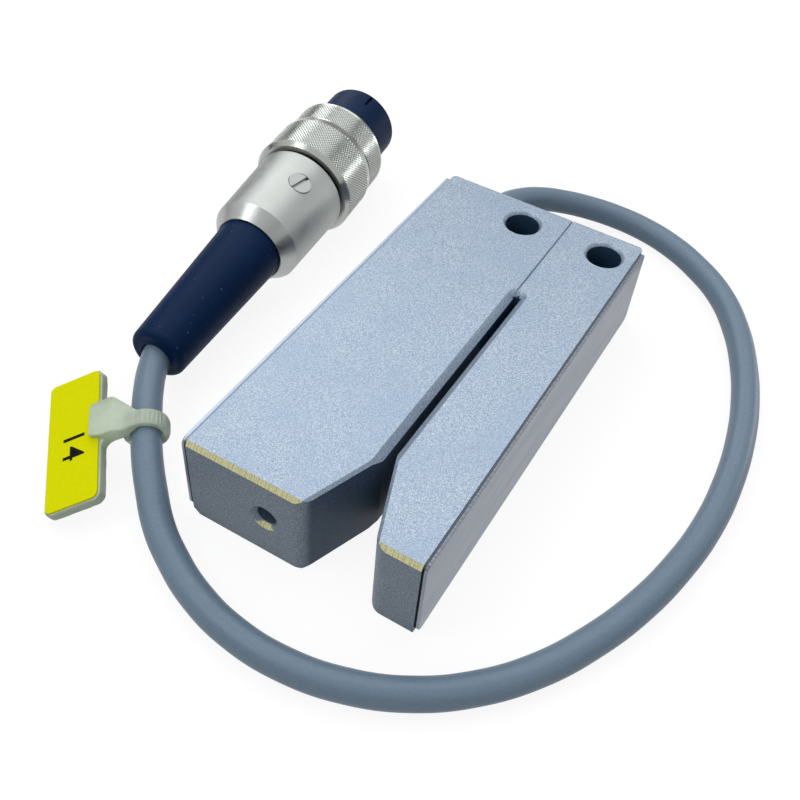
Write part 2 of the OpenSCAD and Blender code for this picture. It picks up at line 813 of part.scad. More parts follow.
module cable_boot() {
    tip_r = boot_tip_d / 2;
    neck_d = shell_mouth_d - 4 * fit;
    color("midnightblue") on_connector() rotate_extrude() polygon(concat(
        [
            [boot_bore_d / 2, shell_end + flange_t],
            [boot_bore_d / 2, boot_tip + boot_mouth_l],
            [boot_mouth_d / 2, boot_tip],
        ],
        [for (a = [-90:15:0])
            [tip_r + boot_round * (cos(a) - 1), boot_tip + boot_round * (1 + sin(a))]],
        [
            [boot_root_d / 2, -shell_l - boot_root_l],
            [neck_d / 2, -shell_l],
            [neck_d / 2, shell_end + fit],
            [flange_d / 2, shell_end + fit],
            [flange_d / 2, shell_end + flange_t],
        ]
    ));
}

// Puts what is built round the cable, with +X along it, at the marker tie
module on_tie() {
    translate(tie_at) rotate(tie_turn) children();
}

// Outline of the tie's head from the plate to the strap, seen from above and from the side
head_lap_y = label_at[1] + label_w / 2 - head_lap;
head_far_y = 0.4;
head_shoulder = [4.1, 5];
head_flare = 0.6;
head_r = 1.3;
head_bevel = 0.5;
head_mid_x = 1.25;
head_low_x = head_mid_x - head_l / 2;
head_high_x = head_mid_x + head_l / 2;
head_top = label_top + head_rise;
head_plan = rounded([
    [head_low_x, head_lap_y, head_r], [head_high_x - head_flare, head_lap_y, head_r],
    [head_high_x, head_lap_y + head_shoulder[1] / 2, head_r],
    [head_high_x, head_lap_y + head_shoulder[1], head_r / 2],
    [strap_x + strap_w / 2, head_far_y, 0], [strap_x - strap_w / 2, head_far_y, 0],
    [head_low_x, head_lap_y + head_shoulder[0], head_r / 2],
]);
head_side = [
    [head_lap_y, plate_low], [head_far_y, plate_low], [head_far_y, strap_r + strap_t],
    [head_lap_y + head_shoulder[0], head_top], [head_lap_y + head_bevel, head_top],
    [head_lap_y, head_top - head_bevel],
];

module tie_head() {
    intersection() {
        translate([0, 0, plate_low]) linear_extrude(head_top - plate_low) polygon(head_plan);
        translate([head_low_x, 0, 0]) rotate([90, 0, 90]) linear_extrude(head_l) polygon(head_side);
    }
}

// The hollow corner between the head and the plate
web_r = 1.2;

module tie_web() {
    y = label_at[1] + label_w / 2;
    at = [head_high_x + web_r, y + plate_border + web_r];
    translate([0, 0, plate_low]) linear_extrude(plate_t) polygon(concat(
        [[head_high_x - web_r / 2, y], [at[0], y]],
        [for (a = [270:-15:180]) at + web_r * [cos(a), sin(a)]],
        [[head_high_x - web_r / 2, at[1]]]
    ));
}

// A flat strip on the plate's place, with round corners
module tag_strip(border, r) {
    half = [label_l / 2 + border, label_w / 2 + border];
    translate(label_at) rotate(plate_turn) polygon(rounded_box(-half, half, r));
}

module marker_tie() {
    color("honeydew") on_tie() difference() {
        union() {
            translate([0, 0, plate_low]) linear_extrude(plate_t) tag_strip(plate_border, plate_r);
            tie_head();
            tie_web();
            bar_x(strap_x - strap_w / 2, strap_x + strap_w / 2, 2 * (strap_r + strap_t), 0, 0);
        }
        bar_x(strap_x - head_l, strap_x + head_l, 2 * strap_r, 0, 0);
    }
}

module marker_label() {
    color("yellow") on_tie() difference() {
        translate([0, 0, plate_top]) linear_extrude(label_t) tag_strip(0, plate_r - plate_border);
        tie_head();
    }
}

main_housing();
slim_housing();
main_cover();
slim_cover();
main_cover_seal();
slim_cover_seal();
arm_screws();
receiver_board();
emitter_board();
receiver_diode();
emitter_diode();
receiver_window();
emitter_window();
signal_chips();
emitter_driver();
status_lamp();
link_wires();
lead_terminal();
cable_leads();
cable_bush();
sensor_cable();
cable_boot();
cable_clamp();
connector_shell();
shell_screw();
coupling_ring();
ring_retainer();
contact_insert();
contact_sleeves();
marker_tie();
marker_label();
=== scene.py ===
"""Fork sensor: finishes, cable, connector and marker tag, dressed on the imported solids.

Every piece is in metres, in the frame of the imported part: X across the arms, Y from the mouth
to the cable end, Z up.
"""

import logging
import math
from dataclasses import dataclass
from enum import Enum
from typing import Callable, Optional, Sequence, Union

import bmesh
import bpy
from mathutils import Matrix, Vector


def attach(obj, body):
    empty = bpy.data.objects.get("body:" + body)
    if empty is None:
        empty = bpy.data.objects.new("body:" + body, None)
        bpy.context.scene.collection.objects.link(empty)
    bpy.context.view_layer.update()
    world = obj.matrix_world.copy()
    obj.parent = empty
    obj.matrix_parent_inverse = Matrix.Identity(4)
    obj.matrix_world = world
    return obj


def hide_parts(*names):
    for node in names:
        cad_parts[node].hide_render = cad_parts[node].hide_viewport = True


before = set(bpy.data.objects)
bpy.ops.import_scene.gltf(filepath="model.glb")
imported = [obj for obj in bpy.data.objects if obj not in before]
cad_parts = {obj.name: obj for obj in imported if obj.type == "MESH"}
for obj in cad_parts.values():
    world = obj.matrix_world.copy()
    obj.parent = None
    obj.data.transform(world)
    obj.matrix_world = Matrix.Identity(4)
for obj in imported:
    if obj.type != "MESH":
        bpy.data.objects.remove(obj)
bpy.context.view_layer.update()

log = logging.getLogger("fork_sensor")

MM = 0.001

# Gap that is welded before edges are broken
WELD_GAP = 0.0002 * MM
# Angles in degrees: up to which faces count as one, and above which an edge is broken or shaded sharp
FLAT_ANGLE = 0.4
BROKEN_ANGLE = 25.0
SHARP_ANGLE = 50.0

Colour = tuple[float, float, float]
Point = tuple[float, float, float]
Flat = tuple[float, float]
Input = Union[bpy.types.NodeSocket, float, Sequence[float]]


class Body(str, Enum):
    """CAD bodies that pieces ride on."""

    SENSOR = "sensor"
    RING = "coupling_ring"


class Slot(str, Enum):
    """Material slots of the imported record."""

    HOUSING = "housing_metal"
    COVER = "cover_metal"
    SEAL = "seal_rubber"
    SCREW = "screw_steel"
    BOARD = "board_laminate"
    CHIP = "chip_plastic"
    DIODE = "diode_metal"
    WINDOW = "window_glass"
    LAMP = "lamp_lens"
    WIRE = "wire_insulation"
    TERMINAL = "terminal_plastic"
    JACKET = "cable_jacket"
    BOOT = "boot_rubber"
    NICKEL = "nickel_plate"
    CLAMP = "clamp_metal"
    INSERT = "insert_plastic"
    CONTACT = "contact_metal"
    TIE = "tie_nylon"
    LABEL = "label_film"


class Nodes:
    """A node tree, with short calls to add nodes and feed them."""

    def __init__(self, tree: bpy.types.NodeTree) -> None:
        """Work on a node tree.

        Args:
            tree: The node tree.
        """
        self.tree = tree

    def add(self, kind: str, **settings: object) -> bpy.types.Node:
        """Add a node.

        Args:
            kind: Blender's name for the node type.
            settings: Values for the node's own properties.

        Returns:
            The new node.
        """
        node = self.tree.nodes.new(kind)
        for key, value in settings.items():
            setattr(node, key, value)
        return node

    def plug(self, socket: bpy.types.NodeSocket, value: Input) -> None:
        """Link an output to a socket, or set the socket to a constant.

        Args:
            socket: The input to feed.
            value: An output socket, a number or a colour.
        """
        if isinstance(value, bpy.types.NodeSocket):
            self.tree.links.new(value, socket)
        else:
            socket.default_value = value

    def calc(self, operation: str, first: Input, second: Input) -> bpy.types.NodeSocket:
        """Arithmetic on two values.

        Args:
            operation: Blender's name for the operation.
            first: First value.
            second: Second value.

        Returns:
            The result.
        """
        node = self.add("ShaderNodeMath", operation=operation)
        self.plug(node.inputs[0], first)
        self.plug(node.inputs[1], second)
        return node.outputs[0]

    def weigh(self, share: float, first: Input, second: Input) -> bpy.types.NodeSocket:
        """A weighted mean of two values.

        Args:
            share: Share of the first value.
            first: First value.
            second: Second value.

        Returns:
            The mean.
        """
        rest = self.calc("MULTIPLY", second, 1 - share)
        return self.calc("ADD", self.calc("MULTIPLY", first, share), rest)

    def by_sight(self, unseen: float, seen: Input) -> bpy.types.NodeSocket:
        """A value for light and another for what shows: to the camera, in reflections and through glass.

        Args:
            unseen: Value for light on its way to other surfaces.
            seen: Value for rays that show the background, or an output that gives it.

        Returns:
            The value.
        """
        path = self.add("ShaderNodeLightPath")
        mask = path.outputs["Is Camera Ray"]
        for name in ("Is Glossy Ray", "Is Transmission Ray"):
            mask = self.calc("MAXIMUM", mask, path.outputs[name])
        choice = self.add("ShaderNodeMapRange")
        for name, value in (("Value", mask), ("To Min", unseen), ("To Max", seen)):
            self.plug(choice.inputs[name], value)
        return choice.outputs[0]


class Graph(Nodes):
    """The node tree of one material, with short calls for the nodes that finishes use."""

    def __init__(self, name: str) -> None:
        """Make a material with a Principled shader.

        Args:
            name: Name of the material.
        """
        self.material = bpy.data.materials.new(name)
        self.material.use_nodes = True
        super().__init__(self.material.node_tree)
        self.shader = self.tree.nodes["Principled BSDF"]
        self.place = self.add("ShaderNodeTexCoord").outputs["Object"]

    def feed(self, name: str, value: Input) -> None:
        """Feed one input of the shader.

        Args:
            name: Name of the shader's input.
            value: An output socket, a number or a colour.
        """
        if isinstance(value, tuple) and len(value) == 3 and self.shader.inputs[name].type == "RGBA":
            value = (*value, 1.0)
        self.plug(self.shader.inputs[name], value)

    def noise(
        self, grain: float, detail: float = 1.0, stretch: Point = (1.0, 1.0, 1.0),
    ) -> bpy.types.NodeSocket:
        """Noise with a grain of a real size.

        Args:
            grain: Size of the grain in metres.
            detail: Octaves of finer noise.
            stretch: How many times longer the grain is along each axis.

        Returns:
            The noise, about 0 to 1.
        """
        scaled = self.add("ShaderNodeVectorMath", operation="DIVIDE")
        self.plug(scaled.inputs[0], self.place)
        scaled.inputs[1].default_value = [grain * times for times in stretch]
        node = self.add("ShaderNodeTexNoise")
        self.plug(node.inputs["Vector"], scaled.outputs[0])
        node.inputs["Scale"].default_value = 1.0
        node.inputs["Detail"].default_value = detail
        return node.outputs["Fac"]

    def cells(self, size: float) -> bpy.types.NodeSocket:
        """Cells of a real size, each with a value of its own.

        Args:
            size: Size of a cell in metres.

        Returns:
            The cells' values, 0 to 1.
        """
        node = self.add("ShaderNodeTexVoronoi")
        self.plug(node.inputs["Vector"], self.place)
        node.inputs["Scale"].default_value = 1.0 / size
        parts = self.add("ShaderNodeSeparateColor")
        self.plug(parts.inputs[0], node.outputs["Color"])
        return parts.outputs[0]

    def along(self, vector: bpy.types.NodeSocket, way: Point) -> bpy.types.NodeSocket:
        """How far a vector reaches in one direction.

        Args:
            vector: The vector.
            way: Unit direction in the part's frame.

        Returns:
            The distance or the cosine.
        """
        dot = self.add("ShaderNodeVectorMath", operation="DOT_PRODUCT")
        self.plug(dot.inputs[0], vector)
        dot.inputs[1].default_value = way
        return dot.outputs["Value"]

    def rows(self, way: Point, pitch: float, detail: float = 1.0) -> bpy.types.NodeSocket:
        """Noise that changes along one direction only, as cutter marks do.

        Args:
            way: Unit direction across the marks.
            pitch: Spacing of the marks in metres.
            detail: Octaves of finer marks.

        Returns:
            The noise, about 0 to 1.
        """
        node = self.add("ShaderNodeTexNoise", noise_dimensions="1D")
        self.plug(node.inputs["W"], self.along(self.place, way))
        node.inputs["Scale"].default_value = 1.0 / pitch
        node.inputs["Detail"].default_value = detail
        return node.outputs["Fac"]

    def blend(
        self, value: Input, low: float, high: float, start: float = 0.0, end: float = 1.0,
    ) -> bpy.types.NodeSocket:
        """A smooth step from one value to another.

        Args:
            value: What to step on.
            low: Where the step starts.
            high: Where the step ends.
            start: Result below the step.
            end: Result above the step.

        Returns:
            The stepped value.
        """
        node = self.add("ShaderNodeMapRange", interpolation_type="SMOOTHSTEP")
        for socket, number in zip(node.inputs, (value, low, high, start, end)):
            self.plug(socket, number)
        return node.outputs[0]

    def mix(self, share: Input, first: Input, second: Input) -> bpy.types.NodeSocket:
        """A mix of two colours.

        Args:
            share: Share of the second colour.
            first: Colour at a share of 0.
            second: Colour at a share of 1.

        Returns:
            The mixed colour.
        """
        node = self.add("ShaderNodeMix", data_type="RGBA")
        self.plug(node.inputs["Factor"], share)
        # The node's colours are its inputs 6 and 7 and its output 2
        for index, value in ((6, first), (7, second)):
            colour = (*value, 1.0) if isinstance(value, tuple) else value
            self.plug(node.inputs[index], colour)
        return node.outputs[2]

    def facing(self, way: Point, low: float, high: float) -> bpy.types.NodeSocket:
        """Mask of the faces that look one way.

        Args:
            way: Unit direction in the part's frame.
            low: Cosine at which the mask starts.
            high: Cosine at which the mask is full.

        Returns:
            The mask, 0 to 1.
        """
        normal = self.add("ShaderNodeNewGeometry").outputs["Normal"]
        return self.blend(self.along(normal, way), low, high)

    def beyond(self, way: Point, low: float, high: float) -> bpy.types.NodeSocket:
        """Mask of what lies beyond a place along one direction.

        Args:
            way: Unit direction in the part's frame.
            low: Distance in metres at which the mask starts.
            high: Distance in metres at which the mask is full.

        Returns:
            The mask, 0 to 1.
        """
        return self.blend(self.along(self.place, way), low, high)

    def relief(self, height: Input, depth: float) -> bpy.types.NodeSocket:
        """Bump of a real depth.

        Args:
            height: Height, 0 to 1.
            depth: Depth of the relief in metres.

        Returns:
            The bumped normal.
        """
        node = self.add("ShaderNodeBump")
        node.inputs["Distance"].default_value = depth
        self.plug(node.inputs["Height"], height)
        return node.outputs["Normal"]


def shade(colour: Colour, share: float) -> Colour:
    """A colour made darker or lighter.

    Args:
        colour: Linear colour.
        share: Factor on each channel.

    Returns:
        The new colour.
    """
    return tuple(min(1.0, channel * share) for channel in colour)


@dataclass(frozen=True)
class Finish:
    """A surface finish with a fine even grain, which other finishes refine.

    Attributes:
        name: Name of the material.
        colour: Linear base colour.
        roughness: Roughness of the gloss.
        metallic: Share of metal.
        grain: Size of the surface grain in metres.
        depth: Depth of the grain in metres.
        contrast: How much the grain changes the colour.
        gloss: Level of the clear gloss over the colour.
    """

    name: str
    colour: Colour
    roughness: float
    metallic: float = 0.0
    grain: float = 0.3 * MM
    depth: float = 0.006 * MM
    contrast: float = 0.06
    gloss: float = 0.4

    def material(self) -> bpy.types.Material:
        """Build the material.

        Returns:
            The new material.
        """
        graph = Graph(self.name)
        graph.feed("Metallic", self.metallic)
        graph.feed("Roughness", self.roughness)
        graph.feed("Specular IOR Level", self.gloss)
        self.work(graph)
        return graph.material

    def tones(self, graph: Graph, share: Input) -> bpy.types.NodeSocket:
        """The base colour, varied between a darker and a lighter tone."""
        dark, light = shade(self.colour, 1 - self.contrast), shade(self.colour, 1 + self.contrast)
        return graph.mix(share, dark, light)

    def work(self, graph: Graph) -> None:
        """Give the material its colour and grain.

        Args:
            graph: Node tree of the material.
        """
        grain = graph.noise(self.grain, 2.0)
        graph.feed("Base Color", self.tones(graph, graph.blend(grain, 0.3, 0.7)))
        graph.feed("Normal", graph.relief(grain, self.depth))


@dataclass(frozen=True)
class BlastedAnodise(Finish):
    """Blasted and anodised aluminium: a sparkling top, plainer ends, painted shade in the cuts, and a
    front chamfer cut through the anodise, painted bright as a reflection.

    Attributes:
        fleck: Colour of the sparkling flecks.
        end: Colour under the flecks on the front and rear faces.
        mottle: Size of the patches in which that colour shows in metres.
        recess_shade: Painted shade: the colour that the lead-ins, the slot and the holes turn to.
        cut_share: Share of the flecked colour that the lead-ins keep under the painted shade.
        deep_share: Share of the flecked colour that the slot and the holes keep under the painted shade.
        cloud: Size of the faint clouds on the top in metres.
        top_at: Heights between which the top's finish begins, in metres.
        slot_at: Places along the arms between which the lead-ins turn into the slot and the painted shade
            deepens, in metres.
        end_at: Distance of the front and rear faces from the middle, in metres.
        end_reach: How far the finish of the front and of the rear face reaches in, in metres.
        end_skin: Depth at which that finish is full, in metres.
        bare_and_glint: Colour of the chamfer cut through the anodise, painted bright as a reflection of
            the front light.
        bare_way: Direction that the chamfer faces.
        mark_pitch: Spacing of the cutter marks on the chamfer in metres.
    """

    fleck: Colour = (0.53, 0.605, 0.685)
    end: Colour = (0.175, 0.205, 0.225)
    mottle: float = 0.2 * MM
    recess_shade: Colour = (0.0, 0.03, 0.075)
    cut_share: float = 0.2
    deep_share: float = 0.07
    cloud: float = 9 * MM
    top_at: Flat = (12 * MM, 13 * MM)
    slot_at: Flat = (-20 * MM, -12 * MM)
    end_at: float = 36 * MM
    end_reach: Flat = (1.8 * MM, 0.6 * MM)
    end_skin: float = 0.2 * MM
    bare_and_glint: Colour = (0.97, 0.94, 0.53)
    bare_way: Point = (0.0, -0.848, 0.53)
    mark_pitch: float = 0.22 * MM

    def tones(self, graph: Graph, share: Input) -> bpy.types.NodeSocket:
        """The anodised colour with a share of its flecks."""
        return graph.mix(share, self.colour, self.fleck)

    def work(self, graph: Graph) -> None:
        """Give the material its sparkle, its ends, the painted shade in its cuts, and its chamfer with its
        painted reflection.

        Args:
            graph: Node tree of the material.
        """
        flakes = graph.cells(self.grain)
        cloud = graph.noise(self.cloud, 2.0)
        sparkle = self.tones(graph, graph.blend(flakes, 0.25, 1.0))
        blasted = graph.mix(graph.blend(cloud, 0.35, 0.7, 0.0, 0.35), sparkle, shade(self.colour, 1.15))
        above = graph.beyond((0, 0, 1), *self.top_at)
        top = graph.calc("MULTIPLY", graph.facing((0, 0, 1), 0.4, 0.8), above)
        foot = graph.facing((0, 0, -1), 0.45, 0.9)
        level = graph.calc("MAXIMUM", top, foot)
        front_reach, rear_reach = self.end_reach
        full = self.end_at - self.end_skin
        near = graph.beyond((0, -1, 0), self.end_at - front_reach, full)
        far = graph.beyond((0, 1, 0), self.end_at - rear_reach, full)
        front = graph.calc("MULTIPLY", near, graph.facing((0, -1, 0), 0.25, 0.75))
        rear = graph.calc("MULTIPLY", far, graph.facing((0, 1, 0), 0.25, 0.75))
        # Painted shade: upright faces other than the ends darken towards recess_shade, more so towards the
        # slot
        deep = graph.beyond((0, 1, 0), *self.slot_at)
        shadow = graph.blend(deep, 0.0, 1.0, 1 - self.cut_share, 1 - self.deep_share)
        patches = graph.blend(graph.noise(self.mottle, 2.0), 0.35, 0.65, 0.2, 0.8)
        upright = graph.mix(
            graph.calc("MAXIMUM", front, rear),
            graph.mix(shadow, sparkle, self.recess_shade),
            graph.mix(patches, sparkle, self.end),
        )
        body = graph.mix(level, upright, blasted)
        # The chamfer cut through the anodise at the front, its colour painted bright as a reflection of
        # the front light; the same mask paints a glint crescent in the lamp's countersink
        bare_and_glint = graph.calc("MULTIPLY", graph.facing(self.bare_way, 0.9, 0.95), near)
        marks = graph.blend(graph.rows((1, 0, 0), self.mark_pitch, 2.0), 0.36, 0.58)
        worn = graph.weigh(0.7, marks, flakes)
        edge = graph.mix(worn, shade(self.bare_and_glint, 0.6), self.bare_and_glint)
        graph.feed("Base Color", graph.mix(bare_and_glint, body, edge))
        metal = graph.blend(level, 0, 1, 0.02, self.metallic)
        graph.feed("Metallic", graph.calc("MAXIMUM", metal, graph.calc("MULTIPLY", bare_and_glint, 0.12)))
        graph.feed("Specular IOR Level", graph.blend(level, 0, 1, 0.08, self.gloss))
        rough = graph.blend(flakes, 0.2, 0.8, self.roughness - 0.08, self.roughness + 0.08)
        graph.feed("Roughness", graph.calc("SUBTRACT", rough, graph.calc("MULTIPLY", bare_and_glint, 0.1)))
        graph.feed("Normal", graph.relief(flakes, self.depth))


@dataclass(frozen=True)
class RolledSheet(Finish):
    """Thin rolled sheet with soft streaks along its length and a darker sheared edge.

    Attributes:
        streak: Width of a streak in metres.
        stretch: How many times longer than wide a streak is.
        sheared: Brightness of the sheared edge against the face.
        hatch: Spacing of the marks on the sheared edge in metres.
        pale: Colour of the sheared edge on the wide arm, which was blasted with it.
    """

    streak: float = 1.6 * MM
    stretch: float = 9.0
    sheared: float = 0.7
    hatch: float = 0.3 * MM
    pale: Colour = (0.36, 0.44, 0.54)

    def work(self, graph: Graph) -> None:
        """Give the material its streaks, its fine grain and its edge.

        Args:
            graph: Node tree of the material.
        """
        streaks = graph.noise(self.streak, 3.0, (1.0, self.stretch, 1.0))
        grain = graph.noise(self.grain, 1.0, (1.0, 4.0, 1.0))
        tone = graph.weigh(0.75, streaks, grain)
        face = self.tones(graph, graph.blend(tone, 0.32, 0.68))
        hatch = graph.blend(graph.rows((0, 1, 0), self.hatch), 0.4, 0.6, 0.6, 1.0)
        edge = graph.mix(hatch, (0.0, 0.0, 0.0), shade(self.colour, self.sheared))
        edge = graph.mix(graph.beyond((-1, 0, 0), 0.0, MM), edge, self.pale)
        graph.feed("Base Color", graph.mix(graph.facing((0, 0, 1), 0.5, 0.9), face, edge))
        soft, hard = self.roughness + 0.06, self.roughness - 0.06
        graph.feed("Roughness", graph.blend(streaks, 0.3, 0.7, hard, soft))
        graph.feed("Normal", graph.relief(grain, self.depth))


@dataclass(frozen=True)
class SealRubber(Finish):
    """Black seal with its upper edge painted paler, as painted light from above.

    Attributes:
        top_light: Colour of the upper edge on the slim arm, painted light from above.
        pale: Colour of the upper edge on the wide arm.
    """

    top_light: Colour = (0.13, 0.155, 0.19)
    pale: Colour = (0.36, 0.44, 0.54)

    def work(self, graph: Graph) -> None:
        """Give the material its grain and rubbed edge.

        Args:
            graph: Node tree of the material.
        """
        grain = graph.noise(self.grain, 2.0)
        body = self.tones(graph, graph.blend(grain, 0.3, 0.7))
        # Painted light: the upward face is paler than the black faces below it
        edge = graph.mix(graph.beyond((-1, 0, 0), 0.0, MM), self.top_light, self.pale)
        graph.feed("Base Color", graph.mix(graph.facing((0, 0, 1), 0.5, 0.9), body, edge))
        graph.feed("Normal", graph.relief(grain, self.depth))


@dataclass(frozen=True)
class SatinNickel(Finish):
    """Turned and satin nickel-plated metal.

    Attributes:
        axis: Axis that the part was turned on.
        polish: How much smoother the bevels at the rear are.
        pitch: Spacing of the turning marks in metres.
        cloud: Size of the soft clouds in metres.
    """

    axis: Point = (0.0, 1.0, 0.0)
    polish: float = 0.0
    pitch: float = 0.16 * MM
    cloud: float = 2.5 * MM

    def work(self, graph: Graph) -> None:
        """Give the material its turning marks and soft clouds.

        Args:
            graph: Node tree of the material.
        """
        turned = graph.rows(self.axis, self.pitch, 2.0)
        cloud = graph.noise(self.cloud, 3.0)
        graph.feed("Base Color", self.tones(graph, graph.blend(cloud, 0.3, 0.7)))
        satin = graph.blend(cloud, 0.3, 0.7, self.roughness - 0.04, self.roughness + 0.05)
        back = graph.facing(tuple(-c for c in self.axis), 0.3, 0.6)
        graph.feed("Roughness", graph.calc("SUBTRACT", satin, graph.calc("MULTIPLY", back, self.polish)))
        graph.feed("Normal", graph.relief(turned, self.depth))


@dataclass(frozen=True)
class MouldedRubber(Finish):
    """Dark moulded rubber with a fine matt skin and faint paler patches from handling.

    Attributes:
        worn: Share by which the patches are paler.
        patch: Size of a patch in metres.
        dust: Share of the skin with a speck of dust on it.
        speck: Size of a speck in metres.
        dusty: Colour of a speck.
    """

    worn: float = 0.25
    patch: float = 5 * MM
    dust: float = 0.0
    speck: float = 0.14 * MM
    dusty: Colour = (0.13, 0.16, 0.2)

    def work(self, graph: Graph) -> None:
        """Give the material its skin, patches and dust.

        Args:
            graph: Node tree of the material.
        """
        skin = graph.noise(self.grain, 3.0)
        patches = graph.blend(graph.noise(self.patch, 2.0), 0.4, 0.75)
        fresh = self.tones(graph, graph.blend(skin, 0.3, 0.7))
        body = graph.mix(patches, fresh, shade(self.colour, 1 + self.worn))
        specks = graph.blend(graph.cells(self.speck), 1 - self.dust, 1 - self.dust / 2)
        graph.feed("Base Color", graph.mix(specks, body, self.dusty) if self.dust else body)
        graph.feed("Roughness", graph.blend(skin, 0.3, 0.7, self.roughness - 0.05, self.roughness + 0.07))
        graph.feed("Normal", graph.relief(skin, self.depth))


@dataclass(frozen=True)
class MilkyNylon(Finish):
    """Milky natural nylon that lets light into its skin.

    Attributes:
        spread: How far light spreads under the skin in metres.
        milk: Share of light that spreads there.
        clear: Share of light that passes through.
        cloud: Size of the clouds in metres.
    """

    spread: float = 2.0 * MM
    milk: float = 0.8
    clear: float = 0.5
    cloud: float = 1.8 * MM

    def work(self, graph: Graph) -> None:
        """Give the material its depth, clouds and skin.

        Args:
            graph: Node tree of the material.
        """
        cloud = graph.noise(self.cloud, 3.0)
        skin = graph.noise(self.grain, 2.0)
        graph.feed("Base Color", self.tones(graph, graph.blend(cloud, 0.3, 0.7)))
        graph.feed("Transmission Weight", self.clear)
        graph.feed("Subsurface Weight", self.milk)
        graph.feed("Subsurface Scale", self.spread)
        graph.feed("Subsurface Radius", (1.0, 1.0, 0.8))
        graph.feed("Normal", graph.relief(skin, self.depth))


@dataclass(frozen=True)
class ClearLens(Finish):
    """Smoked or tinted glass.

    Attributes:
        clear: Share of light that passes through.
    """

    clear: float = 0.5

    def work(self, graph: Graph) -> None:
        """Give the material its tint and faint waves.

        Args:
            graph: Node tree of the material.
        """
        waves = graph.noise(self.grain, 1.0)
        graph.feed("Base Color", self.tones(graph, waves))
        graph.feed("Transmission Weight", self.clear)
        graph.feed("Normal", graph.relief(waves, self.depth))


@dataclass(frozen=True)
class Seat:
    """A place in the part's frame, given as a build tool gives it.

    Attributes:
        at: Place in millimetres.
        turn: Turns about X, Y and Z in degrees, made in that order.
    """

    at: Point
    turn: Point

    def matrix(self) -> Matrix:
        """The move from millimetres on the seat to metres in the part's frame."""
        x, y, z = (Matrix.Rotation(math.radians(a), 4, axis) for a, axis in zip(self.turn, "XYZ"))
        return Matrix.Scale(MM, 4) @ Matrix.Translation(self.at) @ z @ y @ x

    def point(self, along: float) -> Point:
        """A point in millimetres at a distance along the seat's own Z axis."""
        return tuple((self.matrix() @ Vector((0, 0, along))) / MM)


CONNECTOR = Seat(at=(-40.3, 23.2, 9.15), turn=(3 - 90, 0, 5.6))
TIE = Seat(at=(-29.6, -30.2, 6.15), turn=(27, 7, -51.5))

TURNED_ON = tuple((CONNECTOR.matrix().to_3x3() @ Vector((0, 0, 1))).normalized())

FINISHES: dict[Slot, Finish] = {
    Slot.HOUSING: BlastedAnodise(
        "blasted_anodise", (0.228, 0.31, 0.429), 0.36, 0.3, grain=0.1 * MM, depth=0.005 * MM,
    ),
    Slot.COVER: RolledSheet("rolled_cover", (0.278, 0.308, 0.368), 0.4, 0.6, contrast=0.09),
    Slot.SEAL: SealRubber("seal_rubber", (0.008, 0.009, 0.011), 0.7, gloss=0.1),
    Slot.SCREW: Finish("screw_steel", (0.42, 0.42, 0.43), 0.32, 1.0, grain=0.15 * MM),
    Slot.BOARD: Finish("board_laminate", (0.012, 0.10, 0.045), 0.42, grain=0.2 * MM, contrast=0.15),
    Slot.CHIP: Finish("chip_plastic", (0.012, 0.012, 0.013), 0.55, grain=0.12 * MM),
    Slot.DIODE: Finish("diode_metal", (0.50, 0.47, 0.38), 0.3, 1.0, grain=0.2 * MM),
    Slot.WINDOW: ClearLens("window_glass", (0.12, 0.01, 0.012), 0.08, clear=0.5, depth=0.002 * MM),
    Slot.LAMP: ClearLens("lamp_lens", (0.004, 0.005, 0.006), 0.14, clear=0.1, depth=0.002 * MM, gloss=0.1),
    Slot.WIRE: Finish("wire_insulation", (0.30, 0.05, 0.03), 0.45, grain=0.25 * MM),
    Slot.TERMINAL: Finish("terminal_plastic", (0.62, 0.61, 0.56), 0.5, grain=0.3 * MM),
    Slot.JACKET: Finish(
        "cable_jacket", (0.161, 0.232, 0.312), 0.4, grain=0.35 * MM, contrast=0.05, gloss=0.36,
    ),
    Slot.BOOT: MouldedRubber(
        "boot_rubber", (0.002, 0.015, 0.055), 0.5, grain=0.22 * MM, depth=0.004 * MM, gloss=0.08,
        dust=0.0016,
    ),
    Slot.NICKEL: SatinNickel(
        "satin_nickel", (0.375, 0.392, 0.383), 0.5, 1.0, depth=0.0003 * MM, contrast=0.04, axis=TURNED_ON,
        polish=0.2,
    ),
    Slot.CLAMP: Finish("clamp_metal", (0.45, 0.45, 0.44), 0.35, 1.0),
    Slot.INSERT: MouldedRubber(
        "insert_plastic", (0.004, 0.018, 0.058), 0.45, grain=0.3 * MM, depth=0.003 * MM, gloss=0.07,
    ),
    Slot.CONTACT: Finish("contact_gold", (0.72, 0.50, 0.18), 0.25, 1.0, grain=0.2 * MM),
    Slot.TIE: MilkyNylon("milky_nylon", (0.70, 0.80, 0.66), 0.36, grain=0.3 * MM, contrast=0.05),
    Slot.LABEL: Finish(
        "label_film", (0.79, 0.81, 0.0), 0.5, grain=0.4 * MM, depth=0.002 * MM, contrast=0.02, gloss=0.05,
    ),
}
BRIGHT = SatinNickel(
    "bright_nickel", (0.365, 0.38, 0.365), 0.24, 1.0, depth=0.0004 * MM, contrast=0.04, axis=TURNED_ON,
)
INK = Finish("label_ink", (0.006, 0.006, 0.006), 0.6, grain=0.2 * MM, gloss=0.1)


class Palette:
    """The finishes as materials, each made once."""

    def __init__(self) -> None:
        """Make every finish of the part."""
        self.materials = {slot: finish.material() for slot, finish in FINISHES.items()}
        self.ink = INK.material()
        self.bright = BRIGHT.material()

    def paint(
        self, piece: bpy.types.Object, slot: Slot, material: Optional[bpy.types.Material] = None,
    ) -> None:
        """Give a piece one material, the slot's own or another.

        Args:
            piece: The piece to paint.
            slot: The record's slot that it belongs to.
            material: Another material than the slot's own.
        """
        slots = piece.material_slots
        if not slots:
            piece.data.materials.append(None)
        for place in slots:
            place.material = material or self.materials[slot]


